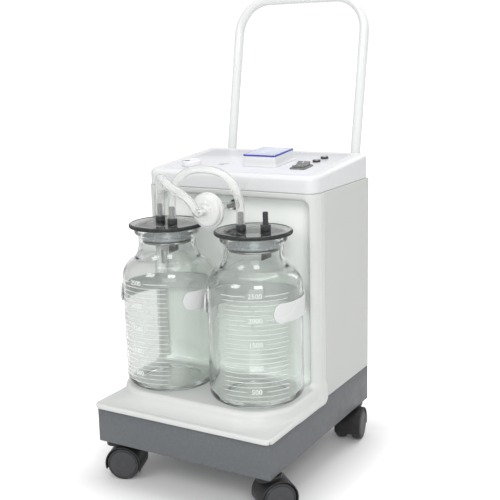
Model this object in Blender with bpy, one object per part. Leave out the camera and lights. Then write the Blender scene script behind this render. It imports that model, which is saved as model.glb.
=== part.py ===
"""Portable suction pump: wheeled base, cabinet with two collection jars,
control panel, push handle, and the vacuum pump inside.

Metres, +Z up. The origin is the middle of the raised flat pad under the base,
59 mm above the floor the casters stand on. +X is the operator's right, -Y is
the front. Dimensions are in millimetres and heights are from the floor, except
on a piece with its own frame, such as the control panel's fittings.
"""
import math

import bmesh
import bpy
from mathutils import Matrix, Vector

MM = 0.001
GAP = 0.3                       # clearance between neighbouring pieces
SIDES = (("left", -1), ("right", 1))

# ---- driving dimensions ----------------------------------------------------
BASE_W, BASE_D = 302.6, 346.9   # base footprint
BASE_Z0, BASE_Z1 = 60.0, 118.7  # underside and upper rim of the base
DATUM_Z = 59.0                  # face of the pad in the middle of the underside
HALF_W = BASE_W / 2
Y_FRONT, Y_REAR = -BASE_D / 2, BASE_D / 2
CABINET_Z0 = BASE_Z1 + GAP      # lower edge of the cabinet's panels
CHASSIS_TOP = CABINET_Z0 + 3.0

PLINTH_R, PLINTH_Z = 74.5, 142.0
FRAME_Y = -21.8                 # front face of the cabinet frame
FRAME_BACK = 10.0               # where the front shell meets the side panels
FRAME_R = 20.0                  # vertical corner radius
RECESS_X, RECESS_Y, RECESS_Z = 137.0, 4.5, 429.0    # half width, rear wall, top
SEAM_Z = 439.7                  # joint between cabinet and top cover
COVER_FRONT_Z, COVER_REAR_Z = 464.6, 480.0
COVER_TILT = math.atan2(COVER_REAR_Z - COVER_FRONT_Z, Y_REAR - FRAME_Y)

JAR_X, JAR_Y = 76.5, -74.1
JAR_R = 70.75
JAR_FACETS = 24                 # around a jar, its lid and its seal
LID_Z0, LID_Z1 = 386.8, 393.3
INLET_X, INLET_Z = 0.0, 413.0   # suction inlet in the recess wall

CASTER_X, CASTER_Y = 132.5, 153.0
# name, side in x, side in y, swivel angle in degrees
CASTERS = (("front_left", -1, -1, 20.0), ("front_right", 1, -1, 50.0),
           ("rear_left", -1, 1, 35.0), ("rear_right", 1, 1, -80.4))

# rotations that lay a piece's own +Z along another axis
TO_FRONT = (math.radians(90), 0, 0)
TO_REAR = (math.radians(-90), 0, 0)
TO_RIGHT = (0, math.radians(90), 0)

for old in list(bpy.data.objects):
    bpy.data.objects.remove(old, do_unlink=True)


# ---- materials -------------------------------------------------------------
def make_material(name, colour, roughness, metallic, transmission):
    material = bpy.data.materials.new(name)
    material.use_nodes = True
    inputs = material.node_tree.nodes["Principled BSDF"].inputs
    inputs["Base Color"].default_value = (*colour, 1.0)
    inputs["Roughness"].default_value = roughness
    inputs["Metallic"].default_value = metallic
    inputs["Transmission Weight"].default_value = transmission
    material.diffuse_color = (*colour, 1.0)
    return material


# name: colour, roughness, metallic, transmission
FINISHES = {
    "base_grey": ((0.15, 0.165, 0.18), 0.5, 0.0, 0.0),
    "steel_sheet": ((0.55, 0.56, 0.57), 0.4, 1.0, 0.0),
    "shell_white": ((0.72, 0.74, 0.73), 0.35, 0.0, 0.0),
    "panel_grey": ((0.6, 0.62, 0.6), 0.5, 0.0, 0.0),
    "cover_white": ((0.75, 0.76, 0.78), 0.3, 0.0, 0.0),
    "window": ((0.6, 0.7, 0.95), 0.1, 0.0, 0.8),
    "dial": ((0.85, 0.85, 0.85), 0.4, 0.0, 0.0),
    "needle": ((0.02, 0.02, 0.02), 0.4, 0.0, 0.0),
    "knob": ((0.8, 0.8, 0.82), 0.3, 0.0, 0.0),
    "brass": ((0.7, 0.5, 0.22), 0.3, 1.0, 0.0),
    "black": ((0.02, 0.02, 0.022), 0.4, 0.0, 0.0),
    "glass": ((0.62, 0.75, 0.7), 0.03, 0.0, 0.95),
    "lid_smoke": ((0.1, 0.1, 0.1), 0.15, 0.0, 0.5),
    "rubber": ((0.02, 0.02, 0.02), 0.6, 0.0, 0.0),
    "silicone": ((0.75, 0.78, 0.74), 0.35, 0.0, 0.6),
    "filter": ((0.85, 0.86, 0.85), 0.25, 0.0, 0.2),
    "clip": ((0.85, 0.86, 0.86), 0.35, 0.0, 0.0),
    "handle": ((0.82, 0.83, 0.82), 0.3, 0.0, 0.0),
    "cast_alu": ((0.6, 0.6, 0.6), 0.45, 1.0, 0.0),
    "caster": ((0.03, 0.031, 0.034), 0.45, 0.0, 0.0),
    "wheel": ((0.07, 0.072, 0.078), 0.5, 0.0, 0.0),
    "steel": ((0.6, 0.6, 0.6), 0.25, 1.0, 0.0),
}
MATERIALS = {
    name: make_material(name, colour=colour, roughness=roughness, metallic=metallic,
                        transmission=transmission)
    for name, (colour, roughness, metallic, transmission) in FINISHES.items()
}


# ---- objects ---------------------------------------------------------------
def link_object(name, data, at, turn, parent):
    """Object in the scene. Without a parent, its height is from the floor and
    comes down to the origin."""
    ob = bpy.data.objects.new(name, data)
    bpy.context.scene.collection.objects.link(ob)
    drop = 0.0 if parent is not None else DATUM_Z
    ob.location = (at[0] * MM, at[1] * MM, (at[2] - drop) * MM)
    ob.rotation_euler = turn
    ob.parent = parent
    return ob


def mesh_object(name, bm, material, at, turn, parent):
    """Turn a bmesh in millimetres into an object in metres."""
    bmesh.ops.remove_doubles(bm, verts=bm.verts, dist=1e-4)
    bmesh.ops.recalc_face_normals(bm, faces=bm.faces)
    bmesh.ops.scale(bm, vec=(MM, MM, MM), verts=bm.verts)
    mesh = bpy.data.meshes.new(name)
    bm.to_mesh(mesh)
    bm.free()
    mesh.materials.append(material)
    return link_object(name, mesh, at, turn, parent)


def piece(name, bm, material, at=(0, 0, 0), turn=(0, 0, 0), parent=None, sharp=35.0):
    """Visible piece, smooth except at edges above the sharp angle in degrees."""
    ob = mesh_object(name, bm, MATERIALS[material], at, turn, parent)
    ob.data.shade_smooth()
    ob.data.set_sharp_from_angle(angle=math.radians(sharp))
    return ob


def combine(target, operation, name, bm, at, turn):
    """Boolean with a hidden helper, which takes the target's material and
    parent, and its place and rotation too where none is given."""
    helper = mesh_object(name, bm, target.data.materials[0], at or (0, 0, 0),
                         turn or (0, 0, 0), target.parent)
    if at is None:
        helper.location = target.location
    if turn is None:
        helper.rotation_euler = target.rotation_euler
    helper.hide_render = True
    helper.display_type = "WIRE"
    modifier = target.modifiers.new(operation.lower(), "BOOLEAN")
    modifier.operation = operation
    modifier.object = helper
    modifier.solver = "EXACT"


def cut(target, name, bm, at=None, turn=None):
    combine(target, "DIFFERENCE", name, bm, at, turn)


def add(target, name, bm, at=None, turn=None):
    combine(target, "UNION", name, bm, at, turn)


# ---- outlines --------------------------------------------------------------
def arc(centre_x, centre_y, radius, start, end, steps):
    """Points along an arc, angles in degrees."""
    angles = [math.radians(start + (end - start) * i / steps) for i in range(steps + 1)]
    return [(centre_x + radius * math.cos(a), centre_y + radius * math.sin(a))
            for a in angles]


def round_rect(x0, x1, y0, y1, radii, steps):
    """Rectangle with its own radius at each corner: front-left, front-right,
    rear-right, rear-left."""
    corners = ((x0, y0, 1, 1, 180), (x1, y0, -1, 1, 270),
               (x1, y1, -1, -1, 0), (x0, y1, 1, -1, 90))
    outline = []
    for (x, y, inward_x, inward_y, start), radius in zip(corners, radii):
        if radius == 0:
            outline.append((x, y))
        else:
            outline += arc(x + inward_x * radius, y + inward_y * radius, radius,
                           start, start + 90, steps)
    return outline


def plate(half_x, half_y, radius, steps, x=0.0, y=0.0):
    """Rounded rectangle about (x, y), all corners alike."""
    return round_rect(x - half_x, x + half_x, y - half_y, y + half_y, (radius,) * 4, steps)


def twin_jar_outline(radius, centre_x, y_rear):
    """Outline that follows two round jars side by side at the front."""
    return (arc(-centre_x, JAR_Y, radius, 180, 270, 14)
            + arc(centre_x, JAR_Y, radius, 270, 360, 14)
            + [(centre_x + radius, y_rear), (-centre_x - radius, y_rear)])


# ---- solids ----------------------------------------------------------------
def bridge(bm, ring_a, ring_b):
    """Faces between two rings; a ring of one vertex is a point on the axis."""
    count = max(len(ring_a), len(ring_b))
    for k in range(count):
        q = (k + 1) % count
        if len(ring_a) == 1:
            bm.faces.new((ring_a[0], ring_b[q], ring_b[k]))
        elif len(ring_b) == 1:
            bm.faces.new((ring_a[k], ring_a[q], ring_b[0]))
        else:
            bm.faces.new((ring_a[k], ring_a[q], ring_b[q], ring_b[k]))


def loft(low_points, high_points):
    """Solid between two outlines with the same number of points."""
    bm = bmesh.new()
    low = [bm.verts.new(p) for p in low_points]
    high = [bm.verts.new(p) for p in high_points]
    bm.faces.new(low[::-1])
    bm.faces.new(high)
    bridge(bm, low, high)
    return bm


def prism(outline, z0, z1):
    """Extrude an (x, y) outline along Z."""
    return loft([(x, y, z0) for x, y in outline], [(x, y, z1) for x, y in outline])


def prism_y(outline, y0, y1):
    """Extrude an (x, z) outline along Y."""
    return turned(prism(outline, -y0, -y1), 90, "X")


def block(x0, x1, y0, y1, z0, z1):
    return prism([(x0, y0), (x1, y0), (x1, y1), (x0, y1)], z0, z1)


def lathe(profile, facets, closed=False, phase=0.0):
    """Turn a profile of (radius, height) about Z. A closed profile is a ring;
    an open one starts and ends on the axis. Phase is in facets."""
    bm = bmesh.new()
    rings = []
    for radius, z in profile:
        if radius < 1e-6:
            rings.append([bm.verts.new((0, 0, z))])
            continue
        angles = [2 * math.pi * (k + phase) / facets for k in range(facets)]
        rings.append([bm.verts.new((radius * math.cos(a), radius * math.sin(a), z))
                      for a in angles])
    for ring_a, ring_b in zip(rings[:-1], rings[1:]):
        bridge(bm, ring_a, ring_b)
    if closed:
        bridge(bm, rings[-1], rings[0])
    return bm


def cylinder(radius, z0, z1, facets):
    return lathe([(0, z0), (radius, z0), (radius, z1), (0, z1)], facets)


def turned(bm, degrees, axis):
    matrix = Matrix.Rotation(math.radians(degrees), 3, axis)
    bmesh.ops.rotate(bm, cent=(0, 0, 0), matrix=matrix, verts=bm.verts)
    return bm


def moved(bm, offset):
    bmesh.ops.translate(bm, vec=offset, verts=bm.verts)
    return bm


def joined(parts):
    """Several bmeshes in one."""
    bm = bmesh.new()
    for part in parts:
        mesh = bpy.data.meshes.new("part")
        part.to_mesh(mesh)
        part.free()
        bm.from_mesh(mesh)
        bpy.data.meshes.remove(mesh)
    return bm


def pipe(path, outer_r, inner_r, facets, side=Vector((0, 1, 0))):
    """Hollow round tube along a path. The side vector is carried along the
    path, so the tube doesn't twist."""
    bm = bmesh.new()
    points = [Vector(p) for p in path]
    outer, inner = [], []
    for i, point in enumerate(points):
        before, after = points[max(i - 1, 0)], points[min(i + 1, len(points) - 1)]
        tangent = (after - before).normalized()
        side = (side - tangent * side.dot(tangent)).normalized()
        up = tangent.cross(side)
        for radius, rings in ((outer_r, outer), (inner_r, inner)):
            angles = [2 * math.pi * k / facets for k in range(facets)]
            rings.append([bm.verts.new(point + (side * math.cos(a) + up * math.sin(a)) * radius)
                          for a in angles])
    for rings in (outer, inner):
        for ring_a, ring_b in zip(rings[:-1], rings[1:]):
            bridge(bm, ring_a, ring_b)
    bridge(bm, outer[0], inner[0])
    bridge(bm, outer[-1], inner[-1])
    return bm


def spline(controls, steps=2):
    """Catmull-Rom curve through the control points."""
    c = [Vector(p) for p in controls]
    c = [c[0] * 2 - c[1]] + c + [c[-1] * 2 - c[-2]]
    curve = []
    for i in range(1, len(c) - 2):
        p0, p1, p2, p3 = c[i - 1:i + 3]
        for step in range(steps):
            t = step / steps
            curve.append(0.5 * ((2 * p1) + (p2 - p0) * t
                                + (2 * p0 - 5 * p1 + 4 * p2 - p3) * t * t
                                + (3 * p1 - p0 - 3 * p2 + p3) * t ** 3))
    curve.append(c[-2])
    return curve


# ---- base and chassis ------------------------------------------------------
BASE_WALL, BASE_FLOOR = 5.0, 4.0
PAD_HALF_X, PAD_HALF_Y = 85.0, 105.0
STEM_HOLE_R = 5.6
CHASSIS_HALF_X = 148.2


def build_base():
    """Deep grey pan with four caster holes."""
    base = piece("base_skirt", block(-HALF_W, HALF_W, Y_FRONT, Y_REAR, BASE_Z0, BASE_Z1),
                 "base_grey")
    cut(base, "cut_base_inside",
        block(-HALF_W + BASE_WALL, HALF_W - BASE_WALL, Y_FRONT + BASE_WALL,
              Y_REAR - BASE_WALL, BASE_Z0 + BASE_FLOOR, BASE_Z1 + 10))
    cut(base, "cut_caster_holes",
        joined(moved(cylinder(STEM_HOLE_R, BASE_Z0 - 5, BASE_Z0 + 10, 20),
                     (side_x * CASTER_X, side_y * CASTER_Y, 0))
               for _, side_x, side_y, _ in CASTERS))
    # the face the pump stands on when the casters are off
    add(base, "add_base_pad",
        block(-PAD_HALF_X, PAD_HALF_X, -PAD_HALF_Y, PAD_HALF_Y, DATUM_Z, BASE_Z0 + 1))


def build_chassis():
    """Plate that carries the pump."""
    outline = round_rect(-CHASSIS_HALF_X, CHASSIS_HALF_X, FRAME_BACK + 0.6, Y_REAR - 3.4,
                         (3, 3, 3, 3), 2)
    piece("chassis_plate", prism(outline, CABINET_Z0, CHASSIS_TOP), "steel_sheet")


# ---- front shell: tray, jar plinth and the frame around the recess ---------
TRAY_HALF_X, TRAY_FRONT, TRAY_REAR = 156.0, -179.5, 2.0
TRAY_Z0, TRAY_Z1 = 114.0, 122.0
TRAY_HOLLOW_X = 151.8           # half width of the hollow under the tray
SHELL_WALL = 3.0
RECESS_R = 10.0                 # upper corners of the recess
HOLLOW_X = 148.0                # half width of the hollow behind the frame
COLUMN_HOLLOW_X = 140.0         # where the pocket in a column starts
INLET_HOLE_R = 5.4


def build_front_shell():
    tray = round_rect(-TRAY_HALF_X, TRAY_HALF_X, TRAY_FRONT, TRAY_REAR, (14, 14, 4, 4), 4)
    shell = piece("front_shell", prism(tray, TRAY_Z0, TRAY_Z1), "shell_white")
    add(shell, "add_plinth",
        prism(twin_jar_outline(PLINTH_R, JAR_X, FRAME_Y + 6), 120.0, PLINTH_Z))
    frame = round_rect(-HALF_W, HALF_W, FRAME_Y, FRAME_BACK, (FRAME_R, FRAME_R, 0, 0), 6)
    add(shell, "add_frame", prism(frame, 119.2, SEAM_Z))

    recess = [(-RECESS_X, PLINTH_Z), (RECESS_X, PLINTH_Z)]
    recess += arc(RECESS_X - RECESS_R, RECESS_Z - RECESS_R, RECESS_R, 0, 90, 5)
    recess += arc(-RECESS_X + RECESS_R, RECESS_Z - RECESS_R, RECESS_R, 90, 180, 5)
    cut(shell, "cut_recess", prism_y(recess, RECESS_Y, -60.0))

    cut(shell, "cut_tray_underside",
        block(-TRAY_HOLLOW_X, TRAY_HOLLOW_X, Y_FRONT - 0.5, 30.0, 100.0,
              TRAY_Z1 - SHELL_WALL))
    cut(shell, "cut_plinth_underside",
        prism(twin_jar_outline(PLINTH_R - SHELL_WALL, JAR_X - 1.0, -26.0), 118.0,
              PLINTH_Z - SHELL_WALL))
    cut(shell, "cut_shell_back",
        block(-HOLLOW_X, HOLLOW_X, RECESS_Y + SHELL_WALL, 20.0, TRAY_Z1 + 0.5,
              SEAM_Z - SHELL_WALL))
    for side, sign in SIDES:
        x0, x1 = sorted((sign * COLUMN_HOLLOW_X, sign * HOLLOW_X))
        pocket = round_rect(x0, x1, FRAME_Y + 6.0, 20.0, (2, 2, 0, 0), 2)
        cut(shell, "cut_column_" + side[0], prism(pocket, 126.0, SEAM_Z - 4.0))
    cut(shell, "cut_inlet",
        moved(turned(cylinder(INLET_HOLE_R, -20, 20, 20), 90, "X"), (INLET_X, 5.0, INLET_Z)))


# ---- side and rear panels, mains inlet -------------------------------------
PANEL_T = 2.4
REAR_PANEL_HALF = HALF_W - PANEL_T - GAP
VENT_X, VENT_Z0, VENT_PITCH, VENTS = 45.0, 150.0, 14.0, 7
VENT_HALF, VENT_R = 28.0, 2.5   # slot: half distance between end centres, end radius
POWER_X, POWER_Z = -85.0, 165.0
POWER_HALF_X, POWER_HALF_Z = 14.0, 11.0
SOCKET_HALF_X, SOCKET_HALF_Z = 11.5, 7.5


def power_block(half_x, half_z, y0, y1):
    """Block about the axis of the mains inlet."""
    return block(POWER_X - half_x, POWER_X + half_x, y0, y1,
                 POWER_Z - half_z, POWER_Z + half_z)


def build_side_panels():
    for side, sign in SIDES:
        x0, x1 = sorted((sign * HALF_W, sign * (HALF_W - PANEL_T)))
        piece(side + "_side_panel",
              block(x0, x1, FRAME_BACK + GAP, Y_REAR, CABINET_Z0, SEAM_Z), "panel_grey")


def build_rear_panel():
    """Rear panel with a column of slots and the mains inlet's opening."""
    rear = piece("rear_panel",
                 block(-REAR_PANEL_HALF, REAR_PANEL_HALF, Y_REAR - PANEL_T, Y_REAR,
                       CABINET_Z0, SEAM_Z), "panel_grey")
    for i in range(VENTS):
        z = VENT_Z0 + VENT_PITCH * i
        slot = (arc(VENT_X + VENT_HALF, z, VENT_R, -90, 90, 3)
                + arc(VENT_X - VENT_HALF, z, VENT_R, 90, 270, 3))
        cut(rear, "cut_vent_%d" % i, prism_y(slot, 180.0, 160.0))
    cut(rear, "cut_power", power_block(POWER_HALF_X + GAP, POWER_HALF_Z + GAP, 160, 190))


def build_power_inlet():
    inlet = piece("power_inlet",
                  power_block(POWER_HALF_X, POWER_HALF_Z, Y_REAR - 22.0, Y_REAR + 2.0), "black")
    flange_y = Y_REAR + GAP
    add(inlet, "add_power_flange",
        prism_y(plate(25, 14, 5, 3, POWER_X, POWER_Z), flange_y + 3.0, flange_y))
    cut(inlet, "cut_power_socket",
        power_block(SOCKET_HALF_X, SOCKET_HALF_Z, Y_REAR - 15.0, Y_REAR + 10))


# ---- top cover: a sloping lid on the cabinet, open underneath --------------
COVER_INSET = 1.2               # the cover stands slightly inside the cabinet walls
COVER_WALL, COVER_TOP_T = 3.0, 4.0
COVER_REAR_R = 8.0
KNOB_XY, SWITCH_XY, GAUGE_XY = (-89.0, 20.0), (97.0, 41.0), (27.6, 65.0)
FUSE_XY = ((100.6, 86.0), (101.4, 113.0))
SWITCH_HALF_X, SWITCH_HALF_Y = 10.5, 13.5
TILT = (COVER_TILT, 0.0, 0.0)


def cover_z(y):
    """Height of the sloping control panel at depth y."""
    return COVER_FRONT_Z + (y - FRAME_Y) * math.tan(COVER_TILT)


def on_panel(xy, lift=0.0):
    """Point above the control panel, measured square to it."""
    x, y = xy
    return (x, y - lift * math.sin(COVER_TILT), cover_z(y) + lift * math.cos(COVER_TILT))


def cover_solid(inset, z0, drop):
    """The cover's shape, moved in by inset, its sloping top lowered by drop."""
    half_x = HALF_W - COVER_INSET - inset
    front_r, rear_r = FRAME_R - inset, COVER_REAR_R - inset
    outline = round_rect(-half_x, half_x, FRAME_Y + COVER_INSET + inset,
                         Y_REAR - COVER_INSET - inset, (front_r, front_r, rear_r, rear_r), 6)
    return loft([(x, y, z0) for x, y in outline],
                [(x, y, cover_z(y) - drop) for x, y in outline])


def build_top_cover():
    bm = cover_solid(0.0, SEAM_Z + 0.4, 0.0)
    top_edges = [e for e in bm.edges if all(v.co.z > SEAM_Z + 10 for v in e.verts)]
    bmesh.ops.bevel(bm, geom=top_edges, offset=5.0, segments=2, profile=0.5, affect="EDGES")
    cover = piece("top_cover", bm, "cover_white", sharp=50)
    cut(cover, "cut_cover_inside", cover_solid(COVER_WALL, SEAM_Z - 10, COVER_TOP_T))
    cut(cover, "cut_knob_hole", cylinder(4.0, -30, 30, 20), on_panel(KNOB_XY), TILT)
    cut(cover, "cut_switch_hole", switch_opening(-20, 20), on_panel(SWITCH_XY), TILT)
    for i, xy in enumerate(FUSE_XY):
        cut(cover, "cut_fuse_%d" % i, cylinder(4.4, -20, 20, 16), on_panel(xy), TILT)


# ---- vacuum gauge; heights are above the control panel ---------------------
GAUGE_HALF_X, GAUGE_HALF_Y, GAUGE_H = 28.8, 32.4, 15.8
GAUGE_WALL, GAUGE_FLOOR = 3.0, 3.3
GAUGE_RIM = 2.4
WINDOW_T = 2.2
NEEDLE_ANGLE = 225
# (x, y) outline of the pointer along +X: tip, hub, square tail
POINTER = [(22.0, 0.0), (0.0, 1.3), (-8.0, 1.6), (-8.0, -1.6), (0.0, -1.3)]


def gauge_block(inset, z0, z1):
    half_x, half_y = GAUGE_HALF_X - inset, GAUGE_HALF_Y - inset
    return block(-half_x, half_x, -half_y, half_y, z0, z1)


def build_gauge():
    """Housing with a rim and a pocket, and a window on top."""
    at = on_panel(GAUGE_XY)
    outline = plate(GAUGE_HALF_X, GAUGE_HALF_Y, 3, 2)
    housing = piece("gauge_housing", prism(outline, GAP, GAUGE_H), "cover_white", at, TILT)
    rim = plate(GAUGE_HALF_X + GAUGE_RIM, GAUGE_HALF_Y + GAUGE_RIM, 4, 2)
    add(housing, "add_gauge_rim", prism(rim, GAP, 2.2))
    cut(housing, "cut_gauge_pocket", gauge_block(GAUGE_WALL, GAUGE_FLOOR, GAUGE_H + 5))
    window_z = GAUGE_H + GAP
    piece("gauge_window", prism(outline, window_z, window_z + WINDOW_T), "window", at, TILT)


def build_gauge_dial():
    dial = piece("gauge_dial", gauge_block(GAUGE_WALL + GAP, GAUGE_FLOOR + GAP, 5.2), "dial",
                 on_panel(GAUGE_XY), TILT)
    cut(dial, "cut_dial_hole", cylinder(1.8, 0, 10, 16))


def build_gauge_needle():
    """Hub, shaft in the dial's hole, pointer and tail."""
    hub = [(0, 4.0), (1.3, 4.0), (1.3, 6.2), (3.2, 6.2), (3.2, 8.6), (0, 8.6)]
    needle = piece("gauge_needle", lathe(hub, 16), "needle", on_panel(GAUGE_XY), TILT)
    add(needle, "add_pointer", turned(prism(POINTER, 6.7, 7.6), NEEDLE_ANGLE, "Z"))


# ---- regulator, switch and fuses; heights are above the control panel ------
# (radius, height) profiles
KNOB = [(0, -8.0), (3.4, -8.0), (3.4, 0.5), (14.6, 0.5), (15.0, 1.4), (14.6, 7.6),
        (12.8, 9.0), (0, 9.0)]
VALVE = [(0, -36.0), (9.0, -36.0), (9.0, -24.0), (12.0, -24.0), (12.0, -9.0), (0, -9.0)]
FUSE_CAP = [(0, -14.0), (4.0, -14.0), (4.0, GAP), (6.2, GAP), (6.2, 2.6), (5.4, 3.6),
            (0, 3.6)]
# (y, z) side outline of the rocker, a shallow V on top
ROCKER = [(-12.0, -1.0), (-9.0, -5.0), (9.0, -5.0), (12.0, -1.0), (12.2, 5.6),
          (10.5, 6.6), (0.0, 3.4), (-10.5, 6.6), (-12.2, 5.6)]
ROCKER_HALF_X, ROCKER_LIFT = 9.9, 0.5
ROCKER_TURN = (COVER_TILT + math.radians(8.0), 0, 0)    # stands with its rear half up


def build_regulator():
    piece("regulator_knob", lathe(KNOB, 24), "knob", on_panel(KNOB_XY), TILT)
    piece("regulator_valve", lathe(VALVE, 20), "brass", on_panel(KNOB_XY), TILT)


def switch_opening(z0, z1):
    return block(-SWITCH_HALF_X, SWITCH_HALF_X, -SWITCH_HALF_Y, SWITCH_HALF_Y, z0, z1)


def build_switch():
    bezel = piece("switch_bezel", prism(plate(13, 16, 2, 2), GAP, 2.6), "black",
                  on_panel(SWITCH_XY), TILT)
    cut(bezel, "cut_bezel", switch_opening(-3, 6))
    rocker = loft([(-ROCKER_HALF_X, y, z) for y, z in ROCKER],
                  [(ROCKER_HALF_X, y, z) for y, z in ROCKER])
    piece("switch_rocker", rocker, "black", on_panel(SWITCH_XY, ROCKER_LIFT), ROCKER_TURN,
          sharp=25)


def build_fuse_caps():
    for i, xy in enumerate(FUSE_XY):
        piece("fuse_cap_%d" % (i + 1), lathe(FUSE_CAP, 20), "black", on_panel(xy), TILT)


# ---- jars, lids and seals --------------------------------------------------
JAR_WALL = 3.5
JAR_Z0 = PLINTH_Z + GAP
HEEL_R = 14.0                   # rounding at the foot of the jar
SHOULDER_R, SHOULDER_Z = 30.0, 312.0
LIP_R, NECK_R, NECK_BORE_R = 49.5, 44.0, 37.3
LIP_TOP = 386.0
LID_R = 56.6
PLUG_R, PLUG_Z = 33.5, 366.0
PLUG_BORE_R, PLUG_FLANGE_R, PLUG_FLANGE_T = 30.8, 36.0, 2.0
LID_HOLE_R = 5.5
NOZZLE_OFF = 18.0               # nozzle distance from the jar axis
NOZZLE_ANGLE = {"left": -24.0, "right": 23.0}
JAR_CENTRE = {side: (sign * JAR_X, JAR_Y, 0) for side, sign in SIDES}


def nozzle_at(side, end):
    """Axis of a nozzle: end is -1 for the left one on its lid, 1 for the right."""
    angle = math.radians(NOZZLE_ANGLE[side])
    x, y, _ = JAR_CENTRE[side]
    return (x + end * NOZZLE_OFF * math.cos(angle), y + end * NOZZLE_OFF * math.sin(angle), 0)


def jar_profile():
    """Outside from the dimpled foot to the lip, then back down the inside."""
    heel_x, shoulder_x = JAR_R - HEEL_R, JAR_R - SHOULDER_R
    outside = [(0, JAR_Z0 + 1.5), (40.0, JAR_Z0 + 1.5), (46.0, JAR_Z0)]
    outside += arc(heel_x, JAR_Z0 + HEEL_R, HEEL_R, -90, 0, 3)
    outside += arc(shoulder_x, SHOULDER_Z, SHOULDER_R, 0, 62, 4)
    outside += [(NECK_R + 5.0, 343.5), (NECK_R, 352.0), (NECK_R, 374.5),
                (LIP_R, 378.0), (LIP_R, 384.0), (LIP_R - 2.0, LIP_TOP)]
    inside = [(NECK_BORE_R, LIP_TOP), (NECK_BORE_R, 348.0)]
    inside += reversed(arc(shoulder_x, SHOULDER_Z, SHOULDER_R - JAR_WALL, 0, 58, 3))
    inside += reversed(arc(heel_x, JAR_Z0 + HEEL_R + 2, HEEL_R - JAR_WALL, -90, 0, 2))
    inside.append((0, JAR_Z0 + 6.0))
    return outside + inside


def build_jar(side):
    piece(side + "_jar", lathe(jar_profile(), JAR_FACETS), "glass", JAR_CENTRE[side])


def build_lid(side):
    """Disc with a hollow flanged plug under it and two nozzle holes."""
    flange_z = PLUG_Z - PLUG_FLANGE_T
    profile = [(0, LID_Z0), (PLUG_BORE_R, LID_Z0), (PLUG_BORE_R, flange_z),
               (PLUG_FLANGE_R, flange_z), (PLUG_FLANGE_R, PLUG_Z), (PLUG_R, PLUG_Z),
               (PLUG_R, LID_Z0), (LID_R, LID_Z0), (LID_R, LID_Z1 - 1.4),
               (LID_R - 1.4, LID_Z1), (0, LID_Z1)]
    lid = piece(side + "_lid", lathe(profile, JAR_FACETS), "lid_smoke", JAR_CENTRE[side])
    for end in (-1, 1):
        cut(lid, "cut_%s_%d" % (side, end + 1),
            cylinder(LID_HOLE_R, LID_Z0 - 12, LID_Z1 + 6, 12), nozzle_at(side, end))


def build_lid_seal(side):
    """Rubber sleeve on the plug that grips the neck."""
    bore, z0, z1 = PLUG_R + GAP, PLUG_Z + GAP, LID_Z0 - GAP
    profile = [(bore, z0), (NECK_BORE_R - 0.6, z0), (NECK_BORE_R - 0.3, PLUG_Z + 2.5),
               (NECK_BORE_R - 0.9, PLUG_Z + 5.0), (NECK_BORE_R - 0.9, z1), (bore, z1)]
    piece(side + "_lid_seal", lathe(profile, JAR_FACETS, closed=True), "rubber",
          JAR_CENTRE[side])


# ---- hose nozzles ----------------------------------------------------------
# name, jar, end of the lid, stub radius, foot of the stub, slanted foot
NOZZLES = (("left_vacuum_nozzle", "left", -1, 5.0, 352.0, False),
           ("left_link_nozzle", "left", 1, 7.4, 346.0, True),
           ("right_link_nozzle", "right", -1, 5.0, 360.0, False),
           ("right_inlet_nozzle", "right", 1, 7.4, 346.0, True))
NOZZLE_SHANK_R = 4.9            # through the lid
NOZZLE_BORE_R = 2.4
COLLAR_R, COLLAR_TOP = 7.8, LID_Z1 + 8.0
BARB_R = 4.0
SLANT = (0, math.radians(28), 0)


def build_nozzle(name, side, end, stub_r, stub_z, slanted):
    """Barbed nozzle with an octagonal collar and a stub under the lid."""
    at = nozzle_at(side, end)
    collar_z = LID_Z1 + GAP
    stub_top = LID_Z0 - GAP - 1.0
    shank = [(0, stub_z), (stub_r, stub_z), (stub_r, stub_top), (NOZZLE_SHANK_R, stub_top),
             (NOZZLE_SHANK_R, collar_z + 2.0), (0, collar_z + 2.0)]
    nozzle = piece(name, lathe(shank, 12), "black", at)
    collar = [(0, collar_z), (COLLAR_R, collar_z), (COLLAR_R, COLLAR_TOP - 1.0),
              (COLLAR_R - 0.8, COLLAR_TOP), (0, COLLAR_TOP)]
    add(nozzle, "add_collar_" + name, lathe(collar, 8, phase=0.5))
    z = LID_Z1 + 7.0
    barb = [(0, z), (BARB_R, z), (BARB_R, z + 12.0), (BARB_R + 0.25, z + 12.6),
            (BARB_R - 0.6, z + 18.6), (0, z + 18.6)]
    add(nozzle, "add_barb_" + name, lathe(barb, 12))
    cut(nozzle, "cut_bore_" + name, cylinder(NOZZLE_BORE_R, stub_z - 10, LID_Z1 + 50, 8))
    if slanted:
        cut(nozzle, "cut_slant_" + name, block(-20, 20, -20, 20, -20, 0),
            (at[0], at[1], stub_z + 4.0), SLANT)


# ---- overflow float under the vacuum nozzle --------------------------------
# (radius, height) profile of the cage, a closed ring
CAGE = [(5.3, 354.0), (8.0, 354.0), (8.0, 314.5), (2.5, 314.5), (2.5, 312.5),
        (8.6, 312.5), (9.5, 313.4), (9.5, 359.0), (8.5, 360.0), (5.3, 360.0)]
BALL_R, BALL_Z = 6.6, 321.6


def build_float():
    """Cage with two crossed slots, and the ball in it."""
    x, y, _ = at = nozzle_at("left", -1)
    cage = piece("float_cage", lathe(CAGE, 16, closed=True), "filter", at)
    for i in range(2):
        cut(cage, "cut_cage_%d" % i, block(-2.5, 2.5, -20, 20, 330, 348),
            turn=(0, 0, math.radians(45 + 90 * i)))
    ball = [(0, -BALL_R)] + arc(0, 0, BALL_R, -60, 60, 4) + [(0, BALL_R)]
    piece("float_ball", lathe(ball, 12), "clip", (x, y, BALL_Z))


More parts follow.
